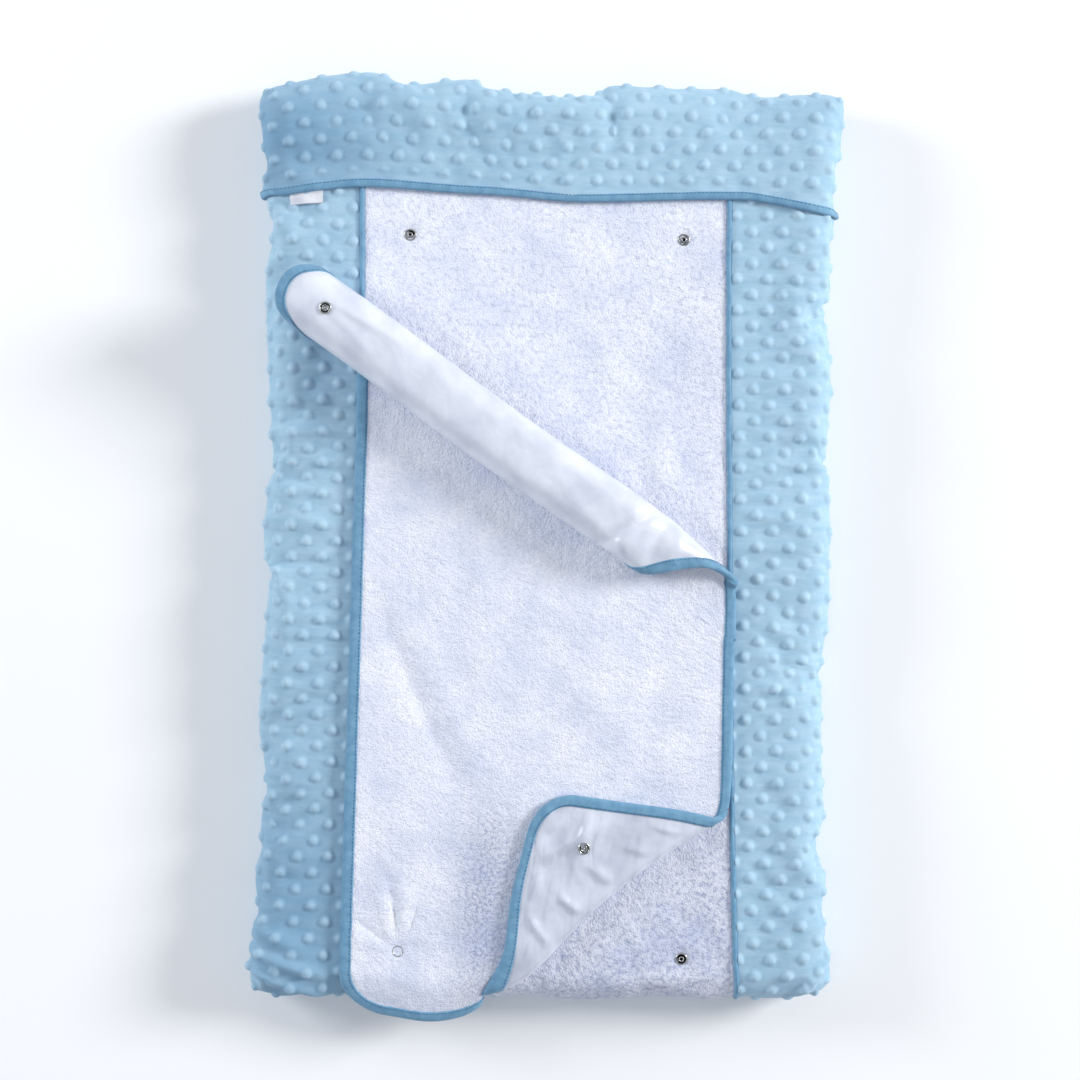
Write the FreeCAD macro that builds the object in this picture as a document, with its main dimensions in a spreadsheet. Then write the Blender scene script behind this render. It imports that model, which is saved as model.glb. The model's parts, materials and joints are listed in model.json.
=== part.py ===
"""A baby's changing pad with a popper-on towelling liner, half unfastened.

The pad lies flat on Z = 0 with its centre over the origin, +Y to the head end and +X to its right.
A foam core in a welded casing is covered by a plush and towelling cover whose head band is a hood
over the mouth of the cover. The liner lies on top, held by one popper, with its foot-right corner
folded back and its head end rolled up slantwise.
"""
import FreeCAD
import Part
import math
import os
import Sketcher

Vector = FreeCAD.Vector
FAR = 1000.0  # past every edge of the pad, for the boxes that divide it
PAST = 5.0  # a little past a face, for the shapes that cut through it
REACH = 200.0  # past both sides of the roll, for the slanting planes that end it

DIMENSIONS = {
    # the stuffed pad in its cover
    "pad_width": 496.0,
    "pad_length": 786.0,
    "pad_height": 52.0,
    "corner_round": 27.0,
    "rim_round": 24.0,
    "cover_thick": 4.0,
    "casing_thick": 0.8,
    "layer_gap": 0.3,
    # the hood over the head end and the bound edge of it
    "hood_thick": 3.3,
    "hood_edge_y": 300.0,
    "mouth_y": 345.0,
    "bias_thick": 1.0,
    "bias_width": 8.5,
    # the towelling centre and its piping
    "centre_half": 165.0,
    "piping_radius": 1.9,
    "piping_gap": 2.1,
    # the blank tab sewn under the bound edge
    "tab_width": 30.0,
    "tab_drop": 9.0,
    "tab_thick": 0.6,
    "tab_centre_x": -207.0,
    # ring poppers, 10.4 mm across
    "popper_radius": 5.2,
    "nib_radius": 2.15,
    "nib_height": 1.7,
    "flange_thick": 0.8,
    "socket_height": 1.7,
    "socket_bore": 2.25,
    "spring_radius": 2.95,
    "spring_wire": 0.4,
    "collar_radius": 3.3,
    "collar_bore": 2.9,
    "pile_hole": 6.4,
    "seat_sink": 2.6,
    "web_thick": 0.5,
    "web_gap": 0.05,
    "ring_thick": 0.7,
    "fit_gap": 0.1,
    "touch_gap": 0.02,
    "socket_gap": 0.05,
    "groove_roof": 0.3,
    "groove_lip": 0.35,
    "popper_left_x": -118.0,
    "popper_right_x": 122.0,
    "popper_head_shift": -5.0,
    "popper_head_y": 266.0,
    "popper_foot_y": -356.0,
    # the liner: a towelling face on a waterproof backing, bound round its edge
    "liner_half_width": 165.0,
    "liner_foot_y": -415.0,
    "liner_head_y": 325.0,
    "liner_round": 38.0,
    "backing_thick": 0.8,
    "towel_thick": 3.1,
    "sheet_thick": 4.0,
    # the fold across the foot-right corner
    "fold_x": 165.0,
    "fold_y": -232.0,
    "fold_turn": -137.5,
    # the rolled head end, in a frame turned to lie along the roll
    "roll_turn": -34.8,
    "roll_start": 25.0,
    "roll_far": 63.0,
    "roll_near": 43.0,
    "roll_radius": 21.0,
    "roll_step": 3.0,
    "roll_tip_low": -255.0,
    "roll_tip_high": -317.0,
    "roll_end_far": 136.0,
    "roll_end_near": 82.0,
    "roll_popper_along": -270.0,
    "roll_popper_across": 54.0,
    "inner_popper_along": -57.5,
    "inner_popper_across": 52.0,
}

doc = FreeCAD.newDocument("changing_pad")
dims = doc.addObject("Spreadsheet::Sheet", "Dims")
for row, (alias, value) in enumerate(DIMENSIONS.items(), start=1):
    dims.set(f"A{row}", alias)
    dims.set(f"B{row}", str(value))
    dims.setAlias(f"B{row}", alias)
doc.recompute()

SEAM = "Dims.pad_height / 2"
TOP = "Dims.pad_height"
LINER_LOW = "(Dims.pad_height + Dims.layer_gap)"
LINER_TOP = "(Dims.pad_height + Dims.layer_gap + Dims.sheet_thick)"
nodes = []


def value_of(expression):
    """The number that an expression of the sheet comes to."""
    found = dims.evalExpression(str(expression).replace("Dims.", ""))
    return float(getattr(found, "Value", found))


def publish(feature, label):
    """Name a finished sub-part and keep it for writing."""
    feature.Label = label
    nodes.append(feature)
    return feature


# ---- plain building blocks -------------------------------------------------------------------

def region(name, low, high):
    """A box between two corners, each coordinate an expression of the sheet."""
    box = doc.addObject("Part::Box", name)
    sides = ("Length", "Width", "Height")
    for side, axis, start, end in zip(sides, "xyz", low, high):
        box.setExpression(side, f"({end}) - ({start})")
        box.setExpression(f"Placement.Base.{axis}", str(start))
    return box


def beyond_line(name, start_x, start_y, turn, offset):
    """Everything to the left of a line in plan, from offset beyond it, as one large box."""
    box = doc.addObject("Part::Box", name)
    box.Length = 2 * FAR
    box.Width = FAR
    box.Height = 2 * FAR
    angle = FreeCAD.Rotation(Vector(0, 0, 1), value_of(turn))
    corner = angle.multVec(Vector(-FAR, value_of(offset), 0))
    place = Vector(value_of(start_x), value_of(start_y), -FAR) + corner
    box.Placement = FreeCAD.Placement(place, angle)
    return box


def cylinder(name, radius, low, high, place=None):
    """An upright cylinder between two heights, carried to a place."""
    post = doc.addObject("Part::Cylinder", name)
    post.setExpression("Radius", str(radius))
    post.setExpression("Height", f"({high}) - ({low})")
    lift = FreeCAD.Placement(Vector(0, 0, value_of(low)), FreeCAD.Rotation())
    post.Placement = place.multiply(lift) if place else lift
    return post


def cut(name, base, *tools):
    """The base less each tool."""
    feature = doc.addObject("Part::Cut", name)
    feature.Base = base
    if len(tools) == 1:
        feature.Tool = tools[0]
    else:
        feature.Tool = doc.addObject("Part::Compound", name + "_tools")
        feature.Tool.Links = list(tools)
    return feature


def common(name, base, tool):
    """What two shapes share."""
    feature = doc.addObject("Part::Common", name)
    feature.Base = base
    feature.Tool = tool
    return feature


def origin_plane(body, role):
    """One of a body's own origin planes."""
    return next(f for f in body.Origin.OriginFeatures if f.Role == role)


def new_sketch(body, name, role):
    """A sketch on one of its own body's origin planes."""
    sketch = body.newObject("Sketcher::SketchObject", name)
    sketch.AttachmentSupport = [(origin_plane(body, role), "")]
    sketch.MapMode = "FlatFace"
    return sketch


def bound_point(sketch, line, end, across, up):
    """Hold one end of a line at two expressions of the sheet."""
    for kind, expression in (("DistanceX", across), ("DistanceY", up)):
        number = value_of(expression)
        index = sketch.addConstraint(Sketcher.Constraint(kind, -1, 1, line, end, number))
        sketch.setExpression(f"Constraints[{index}]", str(expression))


def outline(sketch, points):
    """A closed polygon through points that are pairs of expressions."""
    numbers = [Vector(value_of(across), value_of(up), 0) for across, up in points]
    count = len(points)
    for index in range(count):
        start = numbers[index]
        sketch.addGeometry(Part.LineSegment(start, numbers[(index + 1) % count]), False)
    for index in range(count):
        following = (index + 1) % count
        sketch.addConstraint(Sketcher.Constraint("Coincident", index, 2, following, 1))
    for index, (across, up) in enumerate(points):
        bound_point(sketch, index, 1, across, up)


def padded(body, name, points, low, thickness):
    """A plate of a polygon's shape, lying level from a height upwards."""
    sketch = new_sketch(body, name + "_outline", "XY_Plane")
    sketch.setExpression("AttachmentOffset.Base.z", str(low))
    outline(sketch, points)
    pad = body.newObject("PartDesign::Pad", name + "_pad")
    pad.Profile = sketch
    pad.setExpression("Length", str(thickness))
    doc.recompute()
    return pad


def rounded(body, name, base, wanted, radius):
    """Fillet those edges of the base that the test picks out."""
    picked = [f"Edge{n}" for n, edge in enumerate(base.Shape.Edges, start=1) if wanted(edge)]
    fillet = body.newObject("PartDesign::Fillet", name)
    fillet.Base = (base, picked)
    fillet.setExpression("Radius", str(radius))
    doc.recompute()
    return fillet


def is_upright(edge):
    first, last = edge.Vertexes[0].Point, edge.Vertexes[-1].Point
    return abs(first.z - last.z) > 0.01


def turned(label, profile):
    """A round piece turned about its own upright axis from a profile of (radius, height) pairs."""
    body = doc.addObject("PartDesign::Body", label)
    sketch = new_sketch(body, label + "_profile", "XZ_Plane")
    outline(sketch, profile)
    turn = body.newObject("PartDesign::Revolution", label + "_turn")
    turn.Profile = sketch
    turn.ReferenceAxis = (sketch, ["V_Axis"])
    turn.Angle = 360.0
    doc.recompute()
    return body


# ---- the stuffed pad ------------------------------------------------------------------------

def slab(name, inset):
    """A slab of the pad's shape, smaller all round by inset, with every edge rounded over."""
    body = doc.addObject("PartDesign::Body", name)
    half_x = f"(Dims.pad_width / 2 - ({inset}))"
    half_y = f"(Dims.pad_length / 2 - ({inset}))"
    signs = ((-1, -1), (1, -1), (1, 1), (-1, 1))
    points = [(f"{x} * {half_x}", f"{y} * {half_y}") for x, y in signs]
    pad = padded(body, name, points, inset, f"Dims.pad_height - 2 * ({inset})")
    corners = rounded(body, name + "_corners", pad, is_upright, f"Dims.corner_round - ({inset})")
    rounded(
        body, name + "_rims", corners, lambda edge: not is_upright(edge), f"Dims.rim_round - ({inset})"
    )
    return body


def make_core():
    """The foam block and the two halves of the waterproof casing welded round it."""
    casing_inset = "Dims.cover_thick + Dims.layer_gap"
    inside = f"{casing_inset} + Dims.casing_thick"
    casing = cut("casing", slab("casing_outside", casing_inset), slab("casing_inside", inside))
    upper = region("above_weld", (-FAR, -FAR, SEAM), (FAR, FAR, FAR))
    lower = region("below_weld", (-FAR, -FAR, -FAR), (FAR, FAR, SEAM))
    publish(common("casing_upper", casing, upper), "inner_casing_top")
    publish(common("casing_lower", casing, lower), "inner_casing_bottom")
    publish(slab("core", f"{inside} + Dims.layer_gap"), "foam_core")


def seat_cutters(name, place):
    """Pile hole, web hole and hidden recess that a stud and its prong ring sit in."""
    floor = f"({TOP} - Dims.seat_sink)"
    web = f"({floor} - Dims.web_thick)"
    collar = "(Dims.collar_radius + Dims.fit_gap)"
    recess = "(Dims.popper_radius + 2 * Dims.fit_gap)"
    return [
        cylinder(name + "_pile", "Dims.pile_hole", floor, f"{TOP} + {PAST}", place),
        cylinder(name + "_web", collar, f"{web} - Dims.fit_gap", f"{floor} + Dims.fit_gap", place),
        cylinder(name + "_under", recess, f"{TOP} - 2 * Dims.cover_thick", web, place),
    ]


def make_cover(popper_plans):
    """Sleeve of the cover: back panel, two plush side bands and the towelling centre."""
    sleeve = cut("sleeve", slab("sleeve_outside", "0"), slab("sleeve_inside", "Dims.cover_thick"))
    edge = "Dims.centre_half"
    gap = "Dims.piping_gap"
    panels = {
        "side_band_left": (-FAR, f"-{edge} - {gap}"),
        "side_band_right": (f"{edge} + {gap}", FAR),
        "centre_panel": (f"-{edge} + {gap}", f"{edge} - {gap}"),
    }
    for label, (start, end) in panels.items():
        box = region(label + "_area", (start, -FAR, f"{SEAM} + 0.1"), (end, "Dims.mouth_y", FAR))
        panel = common(label + "_cloth", sleeve, box)
        if label == "centre_panel":
            cutters = []
            for name, plan in popper_plans.items():
                cutters += seat_cutters("seat_" + name, plan)
            panel = cut(label + "_seated", panel, *cutters)
        publish(panel, label)
    below = region("below_seam", (-FAR, -FAR, -FAR), (FAR, FAR, f"{SEAM} - 0.1"))
    publish(common("back_cloth", sleeve, below), "back_panel")


def make_hood():
    """The plush head band over the cover's mouth, its bound edge and the blank tab under that."""
    inner = slab("hood_inside", "-Dims.layer_gap")
    outer = slab("hood_outside", "-Dims.layer_gap - Dims.hood_thick")
    bias_outer = slab("bias_outside", "-Dims.layer_gap - Dims.hood_thick - Dims.bias_thick")
    seam = f"{SEAM} + 0.1"
    hood_area = region("hood_area", (-FAR, "Dims.hood_edge_y", seam), (FAR, FAR, FAR))
    hood = common("hood_cloth", cut("hood_shell", outer, inner), hood_area)
    bias_low = "Dims.hood_edge_y - 2"
    bias_area = region("bias_area", (-FAR, bias_low, seam), (FAR, f"{bias_low} + Dims.bias_width", FAR))
    bias = common("bias_shell", cut("bias_block", bias_outer, inner), bias_area)
    publish(hood, "head_band")
    publish(cut("bias_wrap", bias, hood), "head_band_binding")
    low = ("Dims.tab_centre_x - Dims.tab_width / 2", f"{bias_low} - Dims.tab_drop - 0.1", f"{TOP} + 0.1")
    high = ("Dims.tab_centre_x + Dims.tab_width / 2", f"{bias_low} - 0.1", f"{TOP} + 0.1 + Dims.tab_thick")
    publish(region("tab", low, high), "blank_tab")


def make_piping():
    """A round corded piping in each seam of the centre, down over the foot edge to the side seam."""
    bend = "(Dims.rim_round - Dims.piping_radius - 0.1)"
    level = value_of(f"{TOP} - Dims.piping_radius - 0.1")
    foot = value_of(f"-Dims.pad_length / 2 + Dims.piping_radius + 0.1 + {bend}")
    radius = value_of(bend)
    half = radius * math.sqrt(0.5)
    head = value_of("Dims.mouth_y")
    for side, label in ((-1, "piping_left"), (1, "piping_right")):
        body = doc.addObject("PartDesign::Body", label + "_cord")
        path = new_sketch(body, label + "_path", "YZ_Plane")
        middle = Vector(foot - half, level - radius + half, 0)
        lowest = Vector(foot - radius, level - radius, 0)
        seam = Vector(foot - radius, value_of(SEAM) + 0.1, 0)
        path.addGeometry(Part.LineSegment(Vector(head, level, 0), Vector(foot, level, 0)), False)
        path.addGeometry(Part.Arc(Vector(foot, level, 0), middle, lowest), False)
        path.addGeometry(Part.LineSegment(lowest, seam), False)
        profile = new_sketch(body, label + "_section", "XZ_Plane")
        profile.AttachmentOffset = FreeCAD.Placement(Vector(0, 0, -head), FreeCAD.Rotation())
        profile.addGeometry(Part.Circle(Vector(0, level, 0), Vector(0, 0, 1), 1.0), False)
        index = profile.addConstraint(Sketcher.Constraint("Radius", 0, value_of("Dims.piping_radius")))
        profile.setExpression(f"Constraints[{index}]", "Dims.piping_radius")
        doc.recompute()
        pipe = body.newObject("PartDesign::AdditivePipe", label + "_pipe")
        pipe.Profile = profile
        pipe.Spine = (path, [])
        doc.recompute()
        body.setExpression("Placement.Base.x", f"{side} * Dims.centre_half")
        publish(body, label)


# ---- poppers --------------------------------------------------------------------------------

def popper_plan():
    """Where the four poppers are on the pad, as level placements at the pad's datum height."""
    places = {}
    for end, y, shift in (("foot", "popper_foot_y", 0.0), ("head", "popper_head_y", 1.0)):
        for side in ("left", "right"):
            x = value_of(f"Dims.popper_{side}_x") + shift * value_of("Dims.popper_head_shift")
            place = Vector(x, value_of("Dims." + y), 0)
            places[f"{end}_{side}"] = FreeCAD.Placement(place, FreeCAD.Rotation())
    return places


def make_pad_poppers(plans):
    """A stud on the towelling and the prong ring that clamps it from inside, four times over."""
    floor = f"({TOP} - Dims.seat_sink)"
    flange = f"{floor} + Dims.flange_thick"
    stud = [
        (0, floor),
        ("Dims.popper_radius", floor),
        ("Dims.popper_radius", flange),
        ("Dims.nib_radius", flange),
        ("Dims.nib_radius", f"{flange} + Dims.nib_height"),
        (0, f"{flange} + Dims.nib_height"),
    ]
    ring_top = f"({floor} - Dims.web_thick - Dims.web_gap)"
    ring = [
        ("Dims.collar_bore", f"{ring_top} - Dims.ring_thick"),
        ("Dims.popper_radius", f"{ring_top} - Dims.ring_thick"),
        ("Dims.popper_radius", ring_top),
        ("Dims.collar_radius", ring_top),
        ("Dims.collar_radius", f"{floor} - Dims.touch_gap"),
        ("Dims.collar_bore", f"{floor} - Dims.touch_gap"),
    ]
    for name, plan in plans.items():
        for label, profile in ((f"pad_stud_{name}", stud), (f"pad_prong_ring_{name}", ring)):
            piece = turned(label + "_turned", profile)
            piece.Placement = plan
            publish(piece, label)


def make_liner_popper(name, place):
    """Socket, its grip spring and its prong ring, with the liner's underside as their datum."""
    base = "(-Dims.socket_gap)"
    mouth = f"({base} - Dims.socket_height)"
    groove_high = f"({base} - Dims.groove_roof)"
    groove_low = f"({mouth} + Dims.groove_lip)"
    groove_wall = "(Dims.spring_radius + Dims.spring_wire + Dims.fit_gap)"
    socket = [
        (0, base),
        ("Dims.popper_radius", base),
        ("Dims.popper_radius", mouth),
        ("Dims.socket_bore", mouth),
        ("Dims.socket_bore", groove_low),
        (groove_wall, groove_low),
        (groove_wall, groove_high),
        (0, groove_high),
    ]
    ring_low = "(Dims.backing_thick + Dims.fit_gap)"
    ring = [
        ("Dims.collar_bore", "Dims.touch_gap"),
        ("Dims.collar_radius", "Dims.touch_gap"),
        ("Dims.collar_radius", ring_low),
        ("Dims.popper_radius", ring_low),
        ("Dims.popper_radius", f"{ring_low} + Dims.ring_thick"),
        ("Dims.collar_bore", f"{ring_low} + Dims.ring_thick"),
    ]
    for kind, profile in (("socket", socket), ("prong_ring", ring)):
        label = f"liner_{kind}_{name}"
        piece = turned(label + "_turned", profile)
        piece.Placement = place
        publish(piece, label)
    spring = doc.addObject("Part::Torus", f"spring_{name}")
    spring.setExpression("Radius1", "Dims.spring_radius")
    spring.setExpression("Radius2", "Dims.spring_wire")
    middle = value_of(f"({groove_low} + {groove_high}) / 2")
    spring.Placement = place.multiply(FreeCAD.Placement(Vector(0, 0, middle), FreeCAD.Rotation()))
    publish(spring, f"liner_grip_spring_{name}")


def liner_cutters(name, place, towel):
    """The hole through the towelling pile, or the small one through the backing."""
    if towel:
        return cylinder(name, "Dims.popper_radius + 0.3", 0, "Dims.sheet_thick + 0.3", place)
    return cylinder(name, "Dims.collar_radius + 0.1", -0.3, "Dims.backing_thick + 0.3", place)


# ---- the liner ------------------------------------------------------------------------------

def sheet_plate(name, inset, low, thickness):
    """A flat plate of the liner's rounded outline, smaller all round by inset."""
    body = doc.addObject("PartDesign::Body", name)
    half_x = f"(Dims.liner_half_width - {inset})"
    foot = f"(Dims.liner_foot_y + {inset})"
    head = f"(Dims.liner_head_y - {inset})"
    points = [(f"-{half_x}", foot), (half_x, foot), (half_x, head), (f"-{half_x}", head)]
    plate = padded(body, name, points, f"{LINER_LOW} + ({low})", thickness)
    rounded(body, name + "_corners", plate, is_upright, f"Dims.liner_round - {inset}")
    return body


def make_liner_layers():
    """The whole sheet laid flat: towelling face, waterproof backing and the binding round both."""
    inset = "(Dims.bias_width + 0.1)"
    towel_low = "Dims.sheet_thick - Dims.towel_thick"
    whole = sheet_plate("sheet_outline", "0", "0", "Dims.sheet_thick")
    core = sheet_plate("sheet_inside", "Dims.bias_width", "-1", "Dims.sheet_thick + 2")
    return {
        "towelling": sheet_plate("towel_sheet", inset, towel_low, "Dims.towel_thick"),
        "backing": sheet_plate("backing_sheet", inset, "0", "Dims.backing_thick"),
        "binding": cut("binding_ring", whole, core),
    }


def roll_frame(height):
    """The frame of the roll: X along its axis, Y across it towards the head, Z up from a height."""
    turn = FreeCAD.Rotation(Vector(0, 0, 1), value_of("Dims.roll_turn"))
    return FreeCAD.Placement(Vector(0, 0, value_of(height)), turn)


def fold_over():
    """Half a turn about the fold line, which lies on the towelling's upper face."""
    turn = math.radians(value_of("Dims.fold_turn"))
    line = Vector(math.cos(turn), math.sin(turn), 0)
    centre = Vector(value_of("Dims.fold_x"), value_of("Dims.fold_y"), value_of(f"{LINER_TOP} + 0.15"))
    return FreeCAD.Placement(Vector(0, 0, 0), FreeCAD.Rotation(line, 180), centre)


def make_flat_and_corner(layers, places):
    """The liner's flat stretch and, folded back over it, its foot-right corner."""
    fold = ("Dims.fold_x", "Dims.fold_y", "Dims.fold_turn")
    past_fold = beyond_line("past_fold", *fold, "-0.15")
    corner_side = beyond_line("corner_side", *fold, "0.15")
    rolled_side = beyond_line("rolled_side", 0, 0, "Dims.roll_turn", "Dims.roll_start - 0.15")
    for kind, sheet in layers.items():
        flat = cut("flat_" + kind, sheet, past_fold, rolled_side)
        corner = common("turned_" + kind, sheet, corner_side)
        if kind != "binding":
            towel = kind == "towelling"
            holes = liner_cutters("hole_a_" + kind, places["foot_left"], towel)
            flat = cut(f"flat_{kind}_holed", flat, holes)
            right = liner_cutters("hole_b_" + kind, places["foot_right"], towel)
            corner = cut(f"turned_{kind}_holed", corner, right)
        doc.recompute()
        corner.Placement = fold_over()
        publish(flat, "liner_" + kind)
        publish(corner, "corner_" + kind)


def spiral_edges(inset):
    """The roll's section in (across, up), inset from its outer face: flats joined by half turns."""
    far, near = value_of("Dims.roll_far"), value_of("Dims.roll_near")
    radius, step = value_of("Dims.roll_radius"), value_of("Dims.roll_step")
    level = 0.0
    across = far
    edges = []
    place = Vector(0, far, inset)
    for half_turn in range(4):
        upward = half_turn % 2 == 0
        centre = level + radius if upward else level - radius
        side = 1 if upward else -1
        reach = radius - inset
        level = centre + radius if upward else centre - radius
        end = Vector(0, across, centre + side * reach)
        middle = Vector(0, across + side * reach, centre)
        edges.append(Part.Arc(place, middle, end).toShape())
        across = near if upward else far
        place = Vector(0, across, end.z)
        edges.append(Part.LineSegment(end, place).toShape())
        radius -= step
    edges[-1] = Part.LineSegment(end, Vector(0, near + value_of("Dims.bias_width"), end.z)).toShape()
    place = Vector(0, near + value_of("Dims.bias_width"), end.z)
    return edges, Vector(0, far, inset), place


def spiral_prism(outer, inner):
    """One layer of the roll as a long prism, from one depth in the sheet to another."""
    out_edges, out_start, out_end = spiral_edges(outer)
    in_edges, in_start, in_end = spiral_edges(inner)
    ends = [Part.LineSegment(out_end, in_end).toShape(), Part.LineSegment(in_start, out_start).toShape()]
    wire = Part.Wire(Part.__sortEdges__(out_edges + in_edges + ends))
    prism = Part.Face(wire).extrude(Vector(2 * FAR, 0, 0))
    prism.translate(Vector(-FAR, 0, 0))
    return prism


def prism_of(points, direction):
    """A solid from a closed polygon pushed along a direction."""
    wire = Part.makePolygon(points + points[:1])
    return Part.Face(wire).extrude(direction)


def roll_ends(margin):
    """What lies past the roll's two slanted ends, drawn in by a margin."""
    low = value_of("Dims.roll_tip_low") + margin
    high = value_of("Dims.roll_tip_high") + margin
    tall = 2 * value_of("Dims.roll_radius")
    lean = (high - low) / tall
    tip = [Vector(-FAR, -FAR, -PAST), Vector(low - PAST * lean, -FAR, -PAST)]
    tip += [Vector(high + PAST * lean, -FAR, tall + PAST), Vector(-FAR, -FAR, tall + PAST)]
    far, near = value_of("Dims.roll_end_far"), value_of("Dims.roll_end_near")
    run = value_of("2 * Dims.roll_radius + Dims.roll_far - Dims.roll_near")
    slope = (far - near) / run
    start = value_of("Dims.roll_near") - value_of("Dims.roll_radius")
    end_low = near - margin - REACH * slope
    end_high = near - margin + REACH * slope
    end = [Vector(end_low, start - REACH, -PAST), Vector(FAR, start - REACH, -PAST)]
    end += [Vector(FAR, start + REACH, -PAST), Vector(end_high, start + REACH, -PAST)]
    return prism_of(tip, Vector(0, 2 * FAR, 0)), prism_of(end, Vector(0, 0, tall + 2 * PAST))


def make_roll(layers, places):
    """The rolled head end: a flat strip under the roll, then the slantwise spiral above it."""
    frame = roll_frame(LINER_LOW)
    strip = Part.makeBox(
        2 * FAR, value_of("Dims.roll_far - Dims.roll_start") - 0.15, 2 * FAR,
        Vector(-FAR, value_of("Dims.roll_start") + 0.15, -FAR),
    )
    strip.Placement = frame
    thick = value_of("Dims.sheet_thick")
    depths = {
        "backing": (0.0, value_of("Dims.backing_thick")),
        "towelling": (value_of("Dims.sheet_thick - Dims.towel_thick"), thick),
    }
    margin = value_of("Dims.bias_width")
    head_edge = Part.makeBox(
        2 * FAR, margin + 1.0, thick + 1.0,
        Vector(-FAR, value_of("Dims.roll_near"), value_of("4 * Dims.roll_step") - 0.5),
    )
    for kind, (outer, inner) in depths.items():
        spiral = spiral_prism(outer, inner)
        tip, end = roll_ends(margin + 0.1)
        spiral = spiral.cut(tip).cut(end).cut(head_edge)
        spiral.Placement = frame
        layer = layers[kind].Shape.common(strip).fuse(spiral)
        for name in ("head_left", "head_right"):
            hole = liner_cutters(f"hole_{name}_{kind}", places[name], kind == "towelling")
            doc.recompute()
            layer = layer.cut(hole.Shape)
        piece = doc.addObject("Part::Feature", "roll_" + kind)
        piece.Shape = layer.removeSplitter()
        publish(piece, "roll_" + kind)
    whole = spiral_prism(0.0, thick)
    tip, end = roll_ends(0.0)
    inner_tip, inner_end = roll_ends(margin)
    trimmed = whole.cut(tip).cut(end)
    ends = trimmed.common(inner_tip).fuse(trimmed.common(inner_end)).fuse(trimmed.common(head_edge))
    ends.Placement = frame
    flat_ends = layers["binding"].Shape.common(strip)
    piece = doc.addObject("Part::Feature", "roll_binding")
    piece.Shape = ends.fuse(flat_ends).removeSplitter()
    publish(piece, "roll_binding")


def popper_places():
    """Where the liner's poppers are: one closed, one on the folded corner, two in the roll."""
    plans = popper_plan()
    lift = FreeCAD.Placement(Vector(0, 0, value_of(LINER_LOW)), FreeCAD.Rotation())
    flip = FreeCAD.Rotation(Vector(1, 0, 0), 180)
    frame = roll_frame(LINER_LOW)
    outside = 2 * value_of("Dims.roll_radius")
    inside = outside - 2 * value_of("Dims.roll_step")
    on_top = Vector(value_of("Dims.roll_popper_along"), value_of("Dims.roll_popper_across"), outside)
    in_roll = Vector(value_of("Dims.inner_popper_along"), value_of("Dims.inner_popper_across"), inside)
    return {
        "foot_left": lift.multiply(plans["foot_left"]),
        "foot_right": lift.multiply(plans["foot_right"]),
        "head_left": frame.multiply(FreeCAD.Placement(on_top, flip)),
        "head_right": frame.multiply(FreeCAD.Placement(in_roll, flip)),
    }


def write_parts():
    """Check every object, then write each sub-part to a STEP file of its own."""
    doc.recompute()
    for item in doc.Objects:
        bad = {"Invalid", "Error"} & set(item.State)
        if bad:
            raise RuntimeError(f"{item.Label}: {bad}")
    os.makedirs("parts", exist_ok=True)
    for node in nodes:
        shape = node.Shape
        if shape.isNull() or not shape.isValid() or not shape.Solids:
            raise RuntimeError(f"{node.Label}: no valid solid")
    for node in nodes:
        node.Shape.exportStep(f"parts/{node.Label}.step")
        solids = len(node.Shape.Solids)
        print(f"{node.Label}: {solids} solid(s), {node.Shape.Volume / 1000:.2f} cm3")


def main():
    plans = popper_plan()
    make_core()
    make_cover(plans)
    make_hood()
    make_piping()
    make_pad_poppers(plans)
    layers = make_liner_layers()
    places = popper_places()
    doc.recompute()
    make_flat_and_corner(layers, places)
    make_roll(layers, places)
    folded = dict(places)
    folded["foot_right"] = fold_over().multiply(places["foot_right"])
    for name, place in folded.items():
        make_liner_popper(name, place)
    write_parts()


main()
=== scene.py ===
"""Looks of a changing pad: a dimple-plush and towelling cover with a popper-on towelling liner.

Lengths are in millimetres until a mesh is made. Every place is worked out from the CAD frame.
The cover is cloth laid over one pad form. The liner is one flat sheet carried through three
stretches: lying on the pad, folded back at its foot-right corner, and rolled up at its head end.
"""
import json
import math
import bpy
import numpy as np
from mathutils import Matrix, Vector


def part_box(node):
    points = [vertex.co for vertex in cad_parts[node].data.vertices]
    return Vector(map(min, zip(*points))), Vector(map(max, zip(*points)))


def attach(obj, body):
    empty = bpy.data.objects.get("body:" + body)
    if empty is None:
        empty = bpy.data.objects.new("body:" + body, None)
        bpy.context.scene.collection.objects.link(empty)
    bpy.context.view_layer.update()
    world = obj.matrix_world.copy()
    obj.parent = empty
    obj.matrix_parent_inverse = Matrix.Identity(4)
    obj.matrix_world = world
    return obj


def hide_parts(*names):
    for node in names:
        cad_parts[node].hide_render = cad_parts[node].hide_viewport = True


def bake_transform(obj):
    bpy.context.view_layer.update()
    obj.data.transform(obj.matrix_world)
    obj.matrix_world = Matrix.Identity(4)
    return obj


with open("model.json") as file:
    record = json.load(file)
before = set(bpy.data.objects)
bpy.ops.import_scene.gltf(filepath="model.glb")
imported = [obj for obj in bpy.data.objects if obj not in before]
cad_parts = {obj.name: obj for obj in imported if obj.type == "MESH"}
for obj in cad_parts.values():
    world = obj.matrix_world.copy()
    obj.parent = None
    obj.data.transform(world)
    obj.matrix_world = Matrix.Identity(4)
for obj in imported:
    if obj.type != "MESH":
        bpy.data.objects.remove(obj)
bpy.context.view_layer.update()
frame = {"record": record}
MM = 0.001


def node_box(node):
    """Lowest and highest corner of a CAD node, in millimetres."""
    low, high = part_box(node)
    return np.array(low) / MM, np.array(high) / MM


def node_centre(node):
    low, high = node_box(node)
    return (low + high) / 2


def joint_named(name):
    return next(j for j in frame["record"]["behaviour"]["joints"] if j["name"] == name)


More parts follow.
